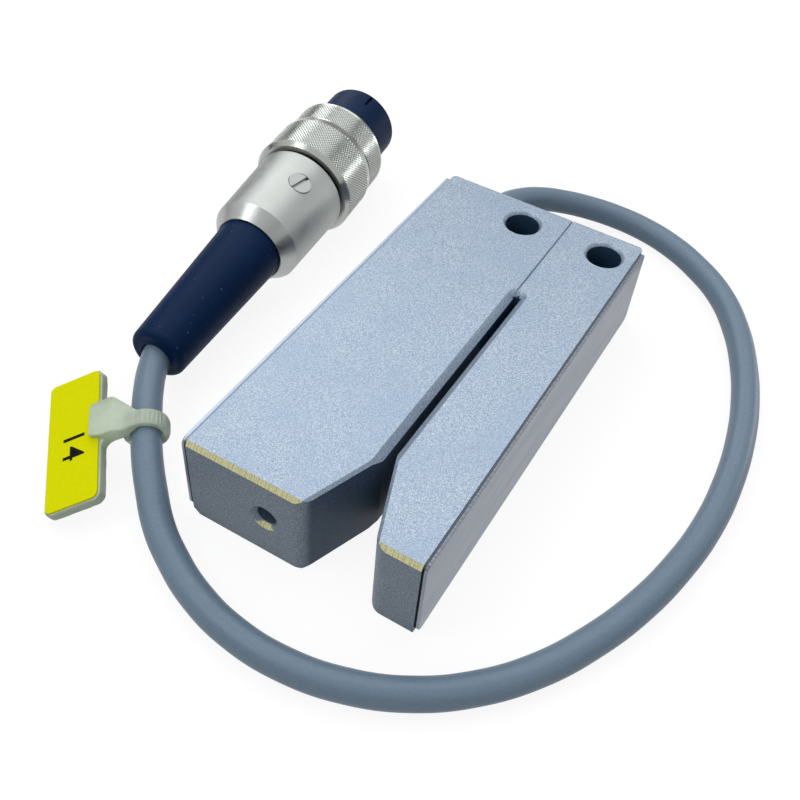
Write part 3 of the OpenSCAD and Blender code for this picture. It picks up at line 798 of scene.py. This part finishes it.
def link(name: str, data: bpy.types.ID) -> bpy.types.Object:
    """Put new data in the scene as an object.

    Args:
        name: Name of the object.
        data: Its mesh, curve, light or camera.

    Returns:
        The new object.
    """
    piece = bpy.data.objects.new(name, data)
    bpy.context.scene.collection.objects.link(piece)
    return piece


def turns(count: int) -> list[float]:
    """Equal steps round a full turn, in radians."""
    return [2 * math.pi * k / count for k in range(count)]


def polar(radius: float, angle: float) -> Flat:
    """A flat point at a radius and an angle in radians."""
    return radius * math.cos(angle), radius * math.sin(angle)


def join_rows(
    model: bmesh.types.BMesh, low: list[bmesh.types.BMVert], high: list[bmesh.types.BMVert],
) -> None:
    """Join two closed rows of points with faces.

    Args:
        model: The mesh of the rows.
        low: One row.
        high: The next row, with as many points.
    """
    for k in range(len(low)):
        n = (k + 1) % len(low)
        model.faces.new((low[k], low[n], high[n], high[k]))


def flush_mesh(name: str, model: bmesh.types.BMesh, sharp: float = 35.0) -> bpy.types.Mesh:
    """Turn a bmesh into a smooth-shaded mesh with its sharp edges marked.

    Args:
        name: Name of the mesh.
        model: The bmesh, which is freed.
        sharp: Angle in degrees above which an edge is sharp.

    Returns:
        The new mesh.
    """
    mesh = bpy.data.meshes.new(name)
    for face in model.faces:
        face.smooth = True
    model.to_mesh(mesh)
    model.free()
    normals = mesh.attributes.get("custom_normal")
    if normals is not None:
        mesh.attributes.remove(normals)
    mesh.set_sharp_from_angle(angle=math.radians(sharp))
    return mesh


def sheet(name: str, width: float, height: float) -> bpy.types.Mesh:
    """A flat rectangle about its middle.

    Args:
        name: Name of the mesh.
        width: Size along X in metres.
        height: Size along Y in metres.

    Returns:
        The new mesh.
    """
    mesh = bpy.data.meshes.new(name)
    x, y = width / 2, height / 2
    mesh.from_pydata([(-x, -y, 0), (x, -y, 0), (x, y, 0), (-x, y, 0)], [], [(0, 1, 2, 3)])
    return mesh


def broken_edges(node: str, name: str, width: float, shortest: float = 0.0) -> bpy.types.Object:
    """A copy of a CAD node with its sharp edges slightly broken.

    Args:
        node: The CAD node to copy.
        name: Name of the new piece.
        width: Width of the broken edge in metres.
        shortest: Edges shorter than this stay sharp.

    Returns:
        The new piece, which stands for the node.
    """
    model = bmesh.new()
    model.from_mesh(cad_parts[node].data)
    bmesh.ops.remove_doubles(model, verts=model.verts, dist=WELD_GAP)
    bmesh.ops.dissolve_limit(
        model, angle_limit=math.radians(FLAT_ANGLE), verts=model.verts, edges=model.edges,
    )
    edges = [
        edge for edge in model.edges
        if edge.calc_face_angle(0.0) > math.radians(BROKEN_ANGLE) and edge.calc_length() > shortest
    ]
    bmesh.ops.bevel(
        model, geom=edges, offset=width, offset_type="OFFSET", segments=2, profile=0.5,
        affect="EDGES", clamp_overlap=False,
    )
    piece = link(name, flush_mesh(name, model, SHARP_ANGLE))
    level = piece.modifiers.new("level faces", "WEIGHTED_NORMAL")
    level.keep_sharp = True
    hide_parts(node)
    return piece


@dataclass
class Assembly:
    """A sub-assembly: it builds its pieces and dresses them.

    Attributes:
        palette: The finishes.
    """

    palette: Palette

    def build(self) -> list[bpy.types.Object]:
        """Build and dress every piece of the sub-assembly."""
        raise NotImplementedError

    def settle(self, piece: bpy.types.Object, slot: Slot, body: Body = Body.SENSOR) -> bpy.types.Object:
        """Paint a new piece and let it ride on a body.

        Args:
            piece: The piece.
            slot: Its material slot.
            body: The body that carries it.

        Returns:
            The same piece.
        """
        self.palette.paint(piece, slot)
        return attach(piece, body.value)

    def dress(self, nodes: dict[str, Slot]) -> list[bpy.types.Object]:
        """Give CAD nodes their finishes.

        Args:
            nodes: Slot of each node.

        Returns:
            The nodes' objects.
        """
        for node, slot in nodes.items():
            self.palette.paint(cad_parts[node], slot)
        return [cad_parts[node] for node in nodes]


@dataclass
class Cable(Assembly):
    """The free cable from the housing's rear wall to the connector.

    Attributes:
        diameter: Diameter of the jacket in millimetres.
        length: Length along the cable, with its two ends inside, in millimetres; not used.
        exit: Where it leaves the rear wall's bush, in millimetres; not used.
        route: Points that it runs through, in millimetres.
        fineness: Steps of the mesh between two points, and over half its round.
    """

    diameter: float = 4.3
    length: float = 279.0
    exit: Point = (-10.5, 38.5, 7.3)
    route: tuple[Point, ...] = (
        (-10.5, 24, 7.3), (-10.5, 31, 7.3), (-10.5, 39.5, 7.3), (-10.1, 43.6, 7), (-8.8, 47.6, 6.2),
        (-6.4, 51.3, 5.3), (-2.9, 54.6, 4.2), (1.4, 57.1, 3.2), (6.5, 58.5, 2.5), (12, 58.4, 2.2),
        (18, 56.6, 2.2), (24, 53.3, 2.2), (29.8, 48.5, 2.2), (34.7, 41.8, 2.2), (38.6, 33.8, 2.2),
        (41.4, 25.5, 2.2), (43.2, 17, 2.2), (44.1, 8, 2.2), (44, -1, 2.2), (42.8, -9.5, 2.2),
        (40.6, -18, 2.2), (37.4, -26, 2.2), (33.2, -33.4, 2.2), (28, -39.5, 2.2), (21.8, -44.3, 2.2),
        (14.6, -47.6, 2.2), (7, -49.2, 2.2), (-0.5, -49.1, 2.2), (-7.7, -47.4, 2.2), (-14, -44.5, 2.3),
        (-18.2, -41.9, 2.9), (-22, -38.6, 4.1), (-25.6, -35, 5.3), TIE.at, (-32.8, -25.9, 6.6),
        (-34.9, -22.4, 6.75), CONNECTOR.point(-43), CONNECTOR.point(-30), CONNECTOR.point(-9.2),
    )
    fineness: int = 10

    def build(self) -> list[bpy.types.Object]:
        """Lay the jacket along its route.

        Returns:
            The pieces.
        """
        curve = bpy.data.curves.new("cable_jacket", "CURVE")
        curve.dimensions = "3D"
        curve.bevel_depth = self.diameter / 2 * MM
        curve.bevel_resolution = curve.resolution_u = self.fineness
        curve.use_fill_caps = True
        spline = curve.splines.new("BEZIER")
        spline.bezier_points.add(len(self.route) - 1)
        for knot, point in zip(spline.bezier_points, self.route):
            knot.co = Vector(point) * MM
            knot.handle_left_type = knot.handle_right_type = "AUTO"
        self.jacket = link("cable_jacket", curve)
        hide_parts("sensor_cable")
        return [self.settle(self.jacket, Slot.JACKET)]

    def declare(self, pieces: Sequence[bpy.types.Object]) -> None:
        """Take what sits on the cable; nothing is done with it.

        Args:
            pieces: What sits on the cable; not used.
        """


@dataclass
class Housing(Assembly):
    """The two milled arms with their side covers and seals.

    Attributes:
        edge: Width of the arms' broken edges in metres.
        cover_edge: Width of the covers' broken edges in metres.
        shortest: Edges shorter than this stay sharp, in metres.
    """

    edge: float = 0.05 * MM
    cover_edge: float = 0.08 * MM
    shortest: float = 0.09 * MM

    def build(self) -> list[bpy.types.Object]:
        """Build the arms and covers, and dress the seals.

        Returns:
            The pieces.
        """
        arms = [
            self.settle(broken_edges(node, name, self.edge, self.shortest), Slot.HOUSING)
            for node, name in (("main_housing", "wide_arm"), ("slim_housing", "slim_arm"))
        ]
        covers = [
            self.settle(broken_edges(node, name, self.cover_edge), Slot.COVER)
            for node, name in (("main_cover", "wide_arm_cover"), ("slim_cover", "slim_arm_cover"))
        ]
        seals = self.dress({"main_cover_seal": Slot.SEAL, "slim_cover_seal": Slot.SEAL})
        return arms + covers + seals


@dataclass
class Electronics(Assembly):
    """What sits inside the arms: boards, light path, lamp and wires."""

    def build(self) -> list[bpy.types.Object]:
        """Dress the inner nodes.

        Returns:
            The pieces.
        """
        return self.dress({
            "arm_screws": Slot.SCREW,
            "receiver_board": Slot.BOARD,
            "emitter_board": Slot.BOARD,
            "receiver_diode": Slot.DIODE,
            "emitter_diode": Slot.DIODE,
            "receiver_window": Slot.WINDOW,
            "emitter_window": Slot.WINDOW,
            "signal_chips": Slot.CHIP,
            "emitter_driver": Slot.CHIP,
            "status_lamp": Slot.LAMP,
            "link_wires": Slot.WIRE,
            "lead_terminal": Slot.TERMINAL,
            "cable_leads": Slot.WIRE,
        })


@dataclass
class Connector(Assembly):
    """The connector's shell, boot, nose and inner pieces, and the bush at the cable's other end.

    Attributes:
        shell_edge: Width of the shell's broken edges in metres.
        soft_edge: Width of the moulded pieces' broken edges in metres.
        lip_at: Place of the boot's soft lip along the connector, in millimetres.
        lip_radii: Radius to the middle of the lip and of the lip itself, in millimetres.
        lip_steps: Steps of the mesh round the cable and round the lip itself.
    """

    shell_edge: float = 0.1 * MM
    soft_edge: float = 0.12 * MM
    lip_at: float = -43.7
    lip_radii: Flat = (2.5, 0.4)
    lip_steps: tuple[int, int] = (48, 16)

    def lip(self) -> bpy.types.Object:
        """Build the soft lip that closes the boot's mouth on the cable.

        Returns:
            The new piece.
        """
        ring, tube = self.lip_radii
        round_cable, round_lip = self.lip_steps
        model = bmesh.new()
        profile = [(ring + r, z) for r, z in (polar(tube, angle) for angle in turns(round_lip))]
        rows = [
            [model.verts.new((*polar(r, angle), self.lip_at + z)) for r, z in profile]
            for angle in turns(round_cable)
        ]
        for row, after in zip(rows, rows[1:] + rows[:1]):
            join_rows(model, after, row)
        bmesh.ops.transform(model, matrix=CONNECTOR.matrix(), verts=model.verts)
        return link("boot_lip", flush_mesh("boot_lip", model))

    def build(self) -> list[bpy.types.Object]:
        """Build the screw, boot, lip, nose and bush, and dress the rest.

        Returns:
            The pieces.
        """
        made = [
            self.settle(broken_edges("shell_screw", "grub_screw", self.shell_edge / 2), Slot.NICKEL),
            self.settle(broken_edges("cable_boot", "bend_boot", self.soft_edge), Slot.BOOT),
            self.settle(self.lip(), Slot.BOOT),
            self.settle(broken_edges("contact_insert", "contact_nose", self.soft_edge), Slot.INSERT),
            self.settle(broken_edges("cable_bush", "rear_bush", self.soft_edge), Slot.BOOT),
        ]
        return made + self.dress({
            "connector_shell": Slot.NICKEL,
            "cable_clamp": Slot.CLAMP,
            "contact_sleeves": Slot.CONTACT,
            "ring_retainer": Slot.SCREW,
        })


@dataclass
class CouplingRing(Assembly):
    """The ring with two knurled bands that turns on the connector. Sizes are in millimetres.

    Attributes:
        profile: Outer outline as distances along the axis and radii.
        steps: Rows of mesh on each stretch of the outline, or rows of diamonds on a band.
        bands: Where the two knurled bands start.
        teeth: Diamonds round a band.
        depth: Depth of the grooves between the diamonds.
        crown: Share of a diamond's width that its flat crown takes.
        bore: Radius of the thread's crests.
        collar: Radius and end of the collar that runs on the nose.
        thread: Pitch, depth and run-out of the thread.
        thread_rows: Rows of mesh on one pitch.
        sharp: Angle in degrees above which an edge is shaded sharp.
    """

    profile: tuple[Flat, ...] = (
        (0.3, 8.6), (1.2, 9.2), (7.9, 9.2), (9.1, 8.95), (9.4, 8.5), (9.7, 8.75), (13.8, 8.75),
        (14.3, 8.75), (15.5, 7.9),
    )
    steps: tuple[int, ...] = (6, 12, 6, 3, 3, 8, 4, 8)
    bands: Flat = (1.2, 9.7)
    teeth: int = 104
    depth: float = 0.1
    crown: float = 0.66
    bore: float = 7.55
    collar: Flat = (6.9, 4.0)
    thread: Point = (1.0, 0.22, 0.8)
    thread_rows: int = 4
    sharp: float = 24.0

    def plain(self, along: float) -> float:
        """Find the radius of the plain outline.

        Args:
            along: Distance along the axis.

        Returns:
            The radius there.
        """
        for (low, start), (high, end) in zip(self.profile, self.profile[1:]):
            if along <= high:
                return start + (end - start) * (along - low) / (high - low)
        return self.profile[-1][1]

    def row(
        self, model: bmesh.types.BMesh, along: float, radius: Callable[[float], float],
    ) -> list[bmesh.types.BMVert]:
        """Add a row of points round the axis: a groove and the two ends of a crown for each diamond.

        Args:
            model: The ring's mesh.
            along: Distance along the axis.
            radius: Radius at an angle.

        Returns:
            The points.
        """
        ends = (0.0, (1 - self.crown) / 2, (1 + self.crown) / 2)
        angles = [turn + end * math.tau / self.teeth for turn in turns(self.teeth) for end in ends]
        return [model.verts.new((*polar(radius(angle), angle), along)) for angle in angles]

    def knurl(
        self, model: bmesh.types.BMesh, first: list[bmesh.types.BMVert], last: list[bmesh.types.BMVert],
        low: float, high: float, count: int,
    ) -> None:
        """Cut the diamonds of a band between its first and last rows.

        Args:
            model: The ring's mesh.
            first: Row at the band's start.
            last: Row at the band's end.
            low: Start of the band.
            high: End of the band.
            count: Rows of diamonds.
        """
        # Half a diamond is one step of the lattice, along and round. The first and last rows have three
        # points for each diamond: a groove and the two ends of a crown.
        around, rise = 2 * self.teeth, 2 * count
        ends = {0: first, rise: last}
        for row in (first, last):
            for groove in row[::3]:
                groove.co.xy = groove.co.xy.normalized() * (groove.co.xy.length - self.depth)

        def put(u: float, v: float, drop: float) -> bmesh.types.BMVert:
            """Add a point at a place on the lattice, a drop below the plain outline."""
            along = low + (high - low) * v / rise
            return model.verts.new((*polar(self.plain(along) - drop, u * math.tau / around), along))

        feet = {
            (u, v): ends[v][3 * u // 2] if v in ends else put(u, v, self.depth)
            for v in range(rise + 1) for u in range(v % 2, around, 2)
        }
        for v in range(rise + 1):
            sides = [side for side in ((-1, 0), (0, -1), (1, 0), (0, 1)) if 0 <= v + side[1] <= rise]
            for u in range(1 - v % 2, around, 2):
                foot = [feet[(u + a) % around, v + b] for a, b in sides]
                top = [
                    ends[v][3 * (u // 2) + (3 + a) // 2] if v in ends and not b
                    else put(u + a * self.crown, v + b * self.crown, 0.0)
                    for a, b in sides
                ]
                model.faces.new(top)
                for k, (_, b) in enumerate(sides):
                    n = (k + 1) % len(sides)
                    if b or sides[n][1]:
                        model.faces.new((foot[k], foot[n], top[n], top[k]))

    def outside(self, model: bmesh.types.BMesh) -> list[list[bmesh.types.BMVert]]:
        """Build the ring's outside.

        Args:
            model: The ring's mesh.

        Returns:
            Its first and last rows.
        """
        rows = [self.row(model, self.profile[0][0], lambda _: self.profile[0][1])]
        for (low, _), (high, _), count in zip(self.profile, self.profile[1:], self.steps):
            knurled = low in self.bands
            for k in range(count - 1 if knurled else 0, count):
                along = low + (high - low) * (k + 1) / count
                rows.append(self.row(model, along, lambda _: self.plain(along)))
                if not knurled:
                    join_rows(model, *rows[-2:])
            if knurled:
                self.knurl(model, *rows[-2:], low, high, count)
        return [rows[0], rows[-1]]

    def inside(self, model: bmesh.types.BMesh) -> list[list[bmesh.types.BMVert]]:
        """Build the rows of the ring's thread and collar.

        Args:
            model: The ring's mesh.

        Returns:
            The rows, from the front to the rear.
        """
        pitch, depth, fade = self.thread
        start, end = self.profile[-1][0], self.collar[1]
        count = int((start - end) / pitch * self.thread_rows)
        rows = []
        for k in range(count + 1):
            along = start + (end - start) * k / count
            cut = depth * min(1.0, (start - along) / fade, (along - end) / fade)
            rows.append(self.row(
                model, along,
                lambda angle: self.bore + cut * 2 * abs((along / pitch + angle / math.tau) % 1.0 - 0.5),
            ))
        for along in (end, self.profile[0][0]):
            rows.append(self.row(model, along, lambda _: self.collar[0]))
        return rows

    def build(self) -> list[bpy.types.Object]:
        """Build the knurled ring as one closed mesh.

        Returns:
            The pieces.
        """
        model = bmesh.new()
        rear, front = self.outside(model)
        rows = [front, *self.inside(model), rear]
        for low, high in zip(rows, rows[1:]):
            join_rows(model, low, high)
        bmesh.ops.transform(model, matrix=CONNECTOR.matrix(), verts=model.verts)
        bmesh.ops.recalc_face_normals(model, faces=model.faces)
        ring = link("knurled_ring", flush_mesh("knurled_ring", model, self.sharp))
        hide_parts("coupling_ring")
        self.palette.paint(ring, Slot.NICKEL, self.palette.bright)
        return [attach(ring, Body.RING.value)]


@dataclass
class MarkerTag(Assembly):
    """The moulded marker on the cable with its ribbed strap, its label and a number.

    Sizes are in millimetres on the tie's own seat: X along the cable, the plate towards -Y.

    Attributes:
        voxel: Step of the mesh that gives the moulding its soft edges.
        weld: Gap that is closed before that.
        rounds: Times that the mesh is smoothed.
        sharp: Angle in degrees above which an edge is shaded sharp.
        strap_at: Place of the strap along the cable.
        strap_half: Half the ribbed width of the strap.
        strap_radii: Radii between which the strap's outside lies.
        ribs: Ribs round the strap.
        rib_height: Height of a rib.
        rib_fade: Share of half the strap's width on which a rib runs out.
        number: Plain number printed on the label.
        number_at: Centre of the number.
        number_size: Height of the number.
        number_turn: Turn of the number with the plate in degrees.
        font_share: Size of the font against the height of its numbers.
        ink: Half the thickness of the print, and how much it spreads.
        label_top: Height of the label's face.
        label_edge: Width of the label's broken edge.
    """

    voxel: float = 0.11
    weld: float = 0.001
    rounds: int = 6
    sharp: float = 80.0
    strap_at: float = 1.85
    strap_half: float = 1.0
    strap_radii: Flat = (2.95, 3.3)
    ribs: int = 36
    rib_height: float = 0.13
    rib_fade: float = 0.25
    number: str = "14"
    number_at: Flat = (3.7, -9.0)
    number_size: float = 3.7
    number_turn: float = 1.9
    font_share: float = 1.35
    ink: float = 0.01
    label_top: float = 4.1
    label_edge: float = 0.06

    def soft_skin(self) -> bmesh.types.BMesh:
        """Melt the CAD tie into one skin with soft edges.

        Returns:
            The skin, on the tie's own seat.
        """
        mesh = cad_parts["marker_tie"].data.copy()
        mesh.transform(TIE.matrix().inverted())
        hard = link("hard_tie", mesh)
        weld = hard.modifiers.new("weld", "WELD")
        weld.merge_threshold = self.weld
        melt = hard.modifiers.new("melt", "REMESH")
        melt.mode = "VOXEL"
        melt.voxel_size = self.voxel
        graph = bpy.context.evaluated_depsgraph_get()
        skin = bmesh.new()
        skin.from_mesh(hard.evaluated_get(graph).to_mesh())
        bpy.data.objects.remove(hard)
        bpy.data.meshes.remove(mesh)
        for _ in range(self.rounds):
            bmesh.ops.smooth_vert(
                skin, verts=skin.verts, factor=0.5, use_axis_x=True, use_axis_y=True, use_axis_z=True,
            )
        return skin

    def raise_ribs(self, skin: bmesh.types.BMesh) -> None:
        """Raise the ribs on the strap's outside.

        Args:
            skin: The tie's skin on its own seat.
        """
        low, high = self.strap_radii
        for vert in skin.verts:
            x, y, z = vert.co
            radius = math.hypot(y, z)
            aside = abs(x - self.strap_at)
            if aside > self.strap_half or not low < radius < high:
                continue
            fade = min(1.0, (1 - aside / self.strap_half) / self.rib_fade)
            rib = self.rib_height * fade * max(0.0, math.cos(self.ribs * math.atan2(z, y)))
            vert.co.yz = Vector((y, z)) * (1 + rib / radius)

    def tie(self) -> bpy.types.Object:
        """Build the moulded tie.

        Returns:
            The new piece.
        """
        skin = self.soft_skin()
        self.raise_ribs(skin)
        bmesh.ops.transform(skin, matrix=TIE.matrix(), verts=skin.verts)
        piece = link("moulded_tie", flush_mesh("moulded_tie", skin, self.sharp))
        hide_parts("marker_tie")
        return piece

    def print_number(self) -> bpy.types.Object:
        """Print the number on the label.

        Returns:
            The new piece.
        """
        text = bpy.data.curves.new("tag_number", "FONT")
        text.body = self.number
        text.align_x = "CENTER"
        text.align_y = "CENTER"
        text.size = self.number_size * self.font_share
        text.offset = text.extrude = self.ink
        stamp = link("tag_number_stamp", text)
        graph = bpy.context.evaluated_depsgraph_get()
        mesh = bpy.data.meshes.new_from_object(stamp.evaluated_get(graph))
        bpy.data.objects.remove(stamp)
        turn = Matrix.Rotation(math.radians(self.number_turn), 4, "Z")
        place = Matrix.Translation((*self.number_at, self.label_top + 1.5 * self.ink))
        mesh.transform(TIE.matrix() @ place @ turn)
        mesh.name = "tag_number"
        return link("tag_number", mesh)

    def build(self) -> list[bpy.types.Object]:
        """Build the tie and the number, and the label with its broken edge.

        Returns:
            The pieces.
        """
        tie = self.settle(self.tie(), Slot.TIE)
        label = self.settle(broken_edges("marker_label", "label_strip", self.label_edge * MM), Slot.LABEL)
        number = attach(self.print_number(), Body.SENSOR.value)
        self.palette.paint(number, Slot.LABEL, self.palette.ink)
        return [tie, label, number]


class Softbox(Enum):
    """The studio's lamps: place and size in metres, power, and whether reflections show them."""

    OVERHEAD = ((-0.16, 0.30, 0.70), (0.95, 0.8), 3.5, True)
    LEFT_FRONT = ((-0.34, -0.31, 0.59), (0.25, 0.25), 0.8, True)
    LEFT_BACK = ((-0.55, 0.56, 0.36), (0.22, 0.30), 0.9, True)
    RIGHT_BACK = ((0.43, 0.62, 0.06), (0.22, 0.10), 0.5, True)
    FRONT_FILL = ((0.20, -0.65, 0.42), (0.9, 0.6), 1.7, False)


class Flag(Enum):
    """Cards that give bright metal its darker tones: place and size in metres, and brightness."""

    FRONT = ((0.15, -0.80, 0.46), (1.7, 0.85), 0.03)
    RIGHT = ((0.88, 0.30, 0.17), (0.9, 0.32), 0.03)
    BACK = ((0.0, 1.05, 0.50), (1.3, 0.98), 0.5)
    LEFT = ((-0.95, 0.45, 0.36), (1.1, 0.70), 0.05)


@dataclass
class Studio:
    """Camera, lamps, floor and surroundings.

    Attributes:
        eye: Place of the camera in millimetres.
        right: Direction of the picture's right side.
        down: Direction of the picture's lower side.
        ahead: Direction that the camera looks.
        lens: Focal length in millimetres on a sensor of the width below.
        sensor: Width of the sensor in millimetres.
        clip: Nearest and farthest distance that the camera sees, in metres.
        aim: Point that the lamps shine on, in metres.
        floor_size: Width of the floor in metres.
        floor_colour: Grey of the floor for the light that it returns.
        floor_glow: White that the floor shows by itself where it is seen.
        floor_shadow: Share of the light that the floor shows on top of that.
        floor_fade: Distances between which it turns all white, in metres.
        ambient: Strength of the even light all round.
    """

    eye: Point = (41.94, -95.52, 111.09)
    right: Point = (0.8598, 0.5064, 0.0664)
    down: Point = (0.4101, -0.607, -0.6807)
    ahead: Point = (-0.3044, 0.6125, -0.7296)
    lens: float = 44.54
    sensor: float = 36.0
    clip: Flat = (0.005, 20.0)
    aim: Point = (0.0, 0.0, 0.005)
    floor_size: float = 1.6
    floor_colour: float = 0.25
    floor_glow: float = 0.88
    floor_shadow: float = 0.17
    floor_fade: Flat = (0.15, 0.6)
    ambient: float = 0.22

    def camera(self) -> None:
        """Set the camera at the photograph's viewpoint."""
        data = bpy.data.cameras.new("viewpoint")
        data.lens = self.lens
        data.sensor_width = self.sensor
        data.clip_start, data.clip_end = self.clip
        camera = link("viewpoint", data)
        columns = (Vector(self.right), -Vector(self.down), -Vector(self.ahead))
        turn = Matrix([column.normalized() for column in columns]).transposed()
        camera.matrix_world = Matrix.Translation(Vector(self.eye) * MM) @ turn.to_4x4()
        bpy.context.scene.camera = camera

    def lamps(self) -> None:
        """Hang the softboxes."""
        for box in Softbox:
            place, size, power, shown = box.value
            data = bpy.data.lights.new(box.name.lower(), "AREA")
            data.shape = "RECTANGLE"
            data.size, data.size_y = size
            data.energy = power
            lamp = link(box.name.lower(), data)
            lamp.location = place
            lamp.visible_glossy = shown
            lamp.rotation_euler = (Vector(self.aim) - Vector(place)).to_track_quat("-Z", "Y").to_euler()

    def flags(self) -> None:
        """Set up the cards, which only reflections show."""
        for flag in Flag:
            place, (width, height), brightness = flag.value
            name = f"{flag.name.lower()}_flag"
            graph = Graph(name)
            graph.feed("Base Color", (0.0, 0.0, 0.0))
            graph.feed("Specular IOR Level", 0.0)
            graph.feed("Emission Color", (1.0, 1.0, 1.0))
            graph.feed("Emission Strength", brightness)
            card = link(name, sheet(name, width, height))
            card.data.materials.append(graph.material)
            card.location = place
            level = Vector((-place[0], -place[1], 0.0))
            card.rotation_euler = level.to_track_quat("Z", "Y").to_euler()
            card.visible_camera = card.visible_diffuse = card.visible_shadow = False

    def floor(self) -> None:
        """Lay the pale floor, which shows a soft shadow and runs out into the white background."""
        graph = Graph("pale_floor")
        graph.tree.nodes.remove(graph.shader)
        length = graph.add("ShaderNodeVectorMath", operation="LENGTH")
        graph.plug(length.inputs[0], graph.place)
        distance = length.outputs["Value"]
        shadow = graph.blend(distance, *self.floor_fade, self.floor_shadow, 0.0)
        glow = graph.blend(distance, *self.floor_fade, self.floor_glow, 1.0)
        matt = graph.add("ShaderNodeBsdfDiffuse")
        graph.plug(matt.inputs["Color"], graph.by_sight(self.floor_colour, shadow))
        white = graph.add("ShaderNodeEmission")
        graph.plug(white.inputs["Strength"], graph.by_sight(0.0, glow))
        both = graph.add("ShaderNodeAddShader")
        for socket, shader in zip(both.inputs, (matt, white)):
            graph.plug(socket, shader.outputs[0])
        graph.plug(graph.tree.nodes["Material Output"].inputs["Surface"], both.outputs[0])
        mesh = sheet("floor", self.floor_size, self.floor_size)
        mesh.materials.append(graph.material)
        link("floor", mesh)

    def surroundings(self) -> None:
        """Even light all round, with a white background where it is seen."""
        world = bpy.data.worlds.new("surroundings")
        world.use_nodes = True
        bpy.context.scene.world = world
        nodes = Nodes(world.node_tree)
        background = nodes.tree.nodes["Background"]
        nodes.plug(background.inputs["Color"], (1.0, 1.0, 1.0, 1.0))
        nodes.plug(background.inputs["Strength"], nodes.by_sight(self.ambient, 1.0))

    def build(self) -> None:
        """Set up the whole studio."""
        bpy.context.scene.view_settings.view_transform = "Standard"
        self.camera()
        self.lamps()
        self.flags()
        self.floor()
        self.surroundings()


def main() -> None:
    """Build the studio, the cable and every sub-assembly, and report each piece."""
    logging.basicConfig(level=logging.INFO, format="%(name)s: %(message)s")
    Studio().build()
    palette = Palette()
    cable, connector, ring, tag = (kind(palette) for kind in (Cable, Connector, CouplingRing, MarkerTag))
    on_cable: list[bpy.types.Object] = []
    for part in (cable, Housing(palette), Electronics(palette), connector, ring, tag):
        pieces = part.build()
        if part in (connector, ring, tag):
            on_cable += pieces
        for piece in pieces:
            log.info("%s: %s", type(part).__name__, piece.name)
    cable.declare(on_cable)


if __name__ == "__main__":
    main()
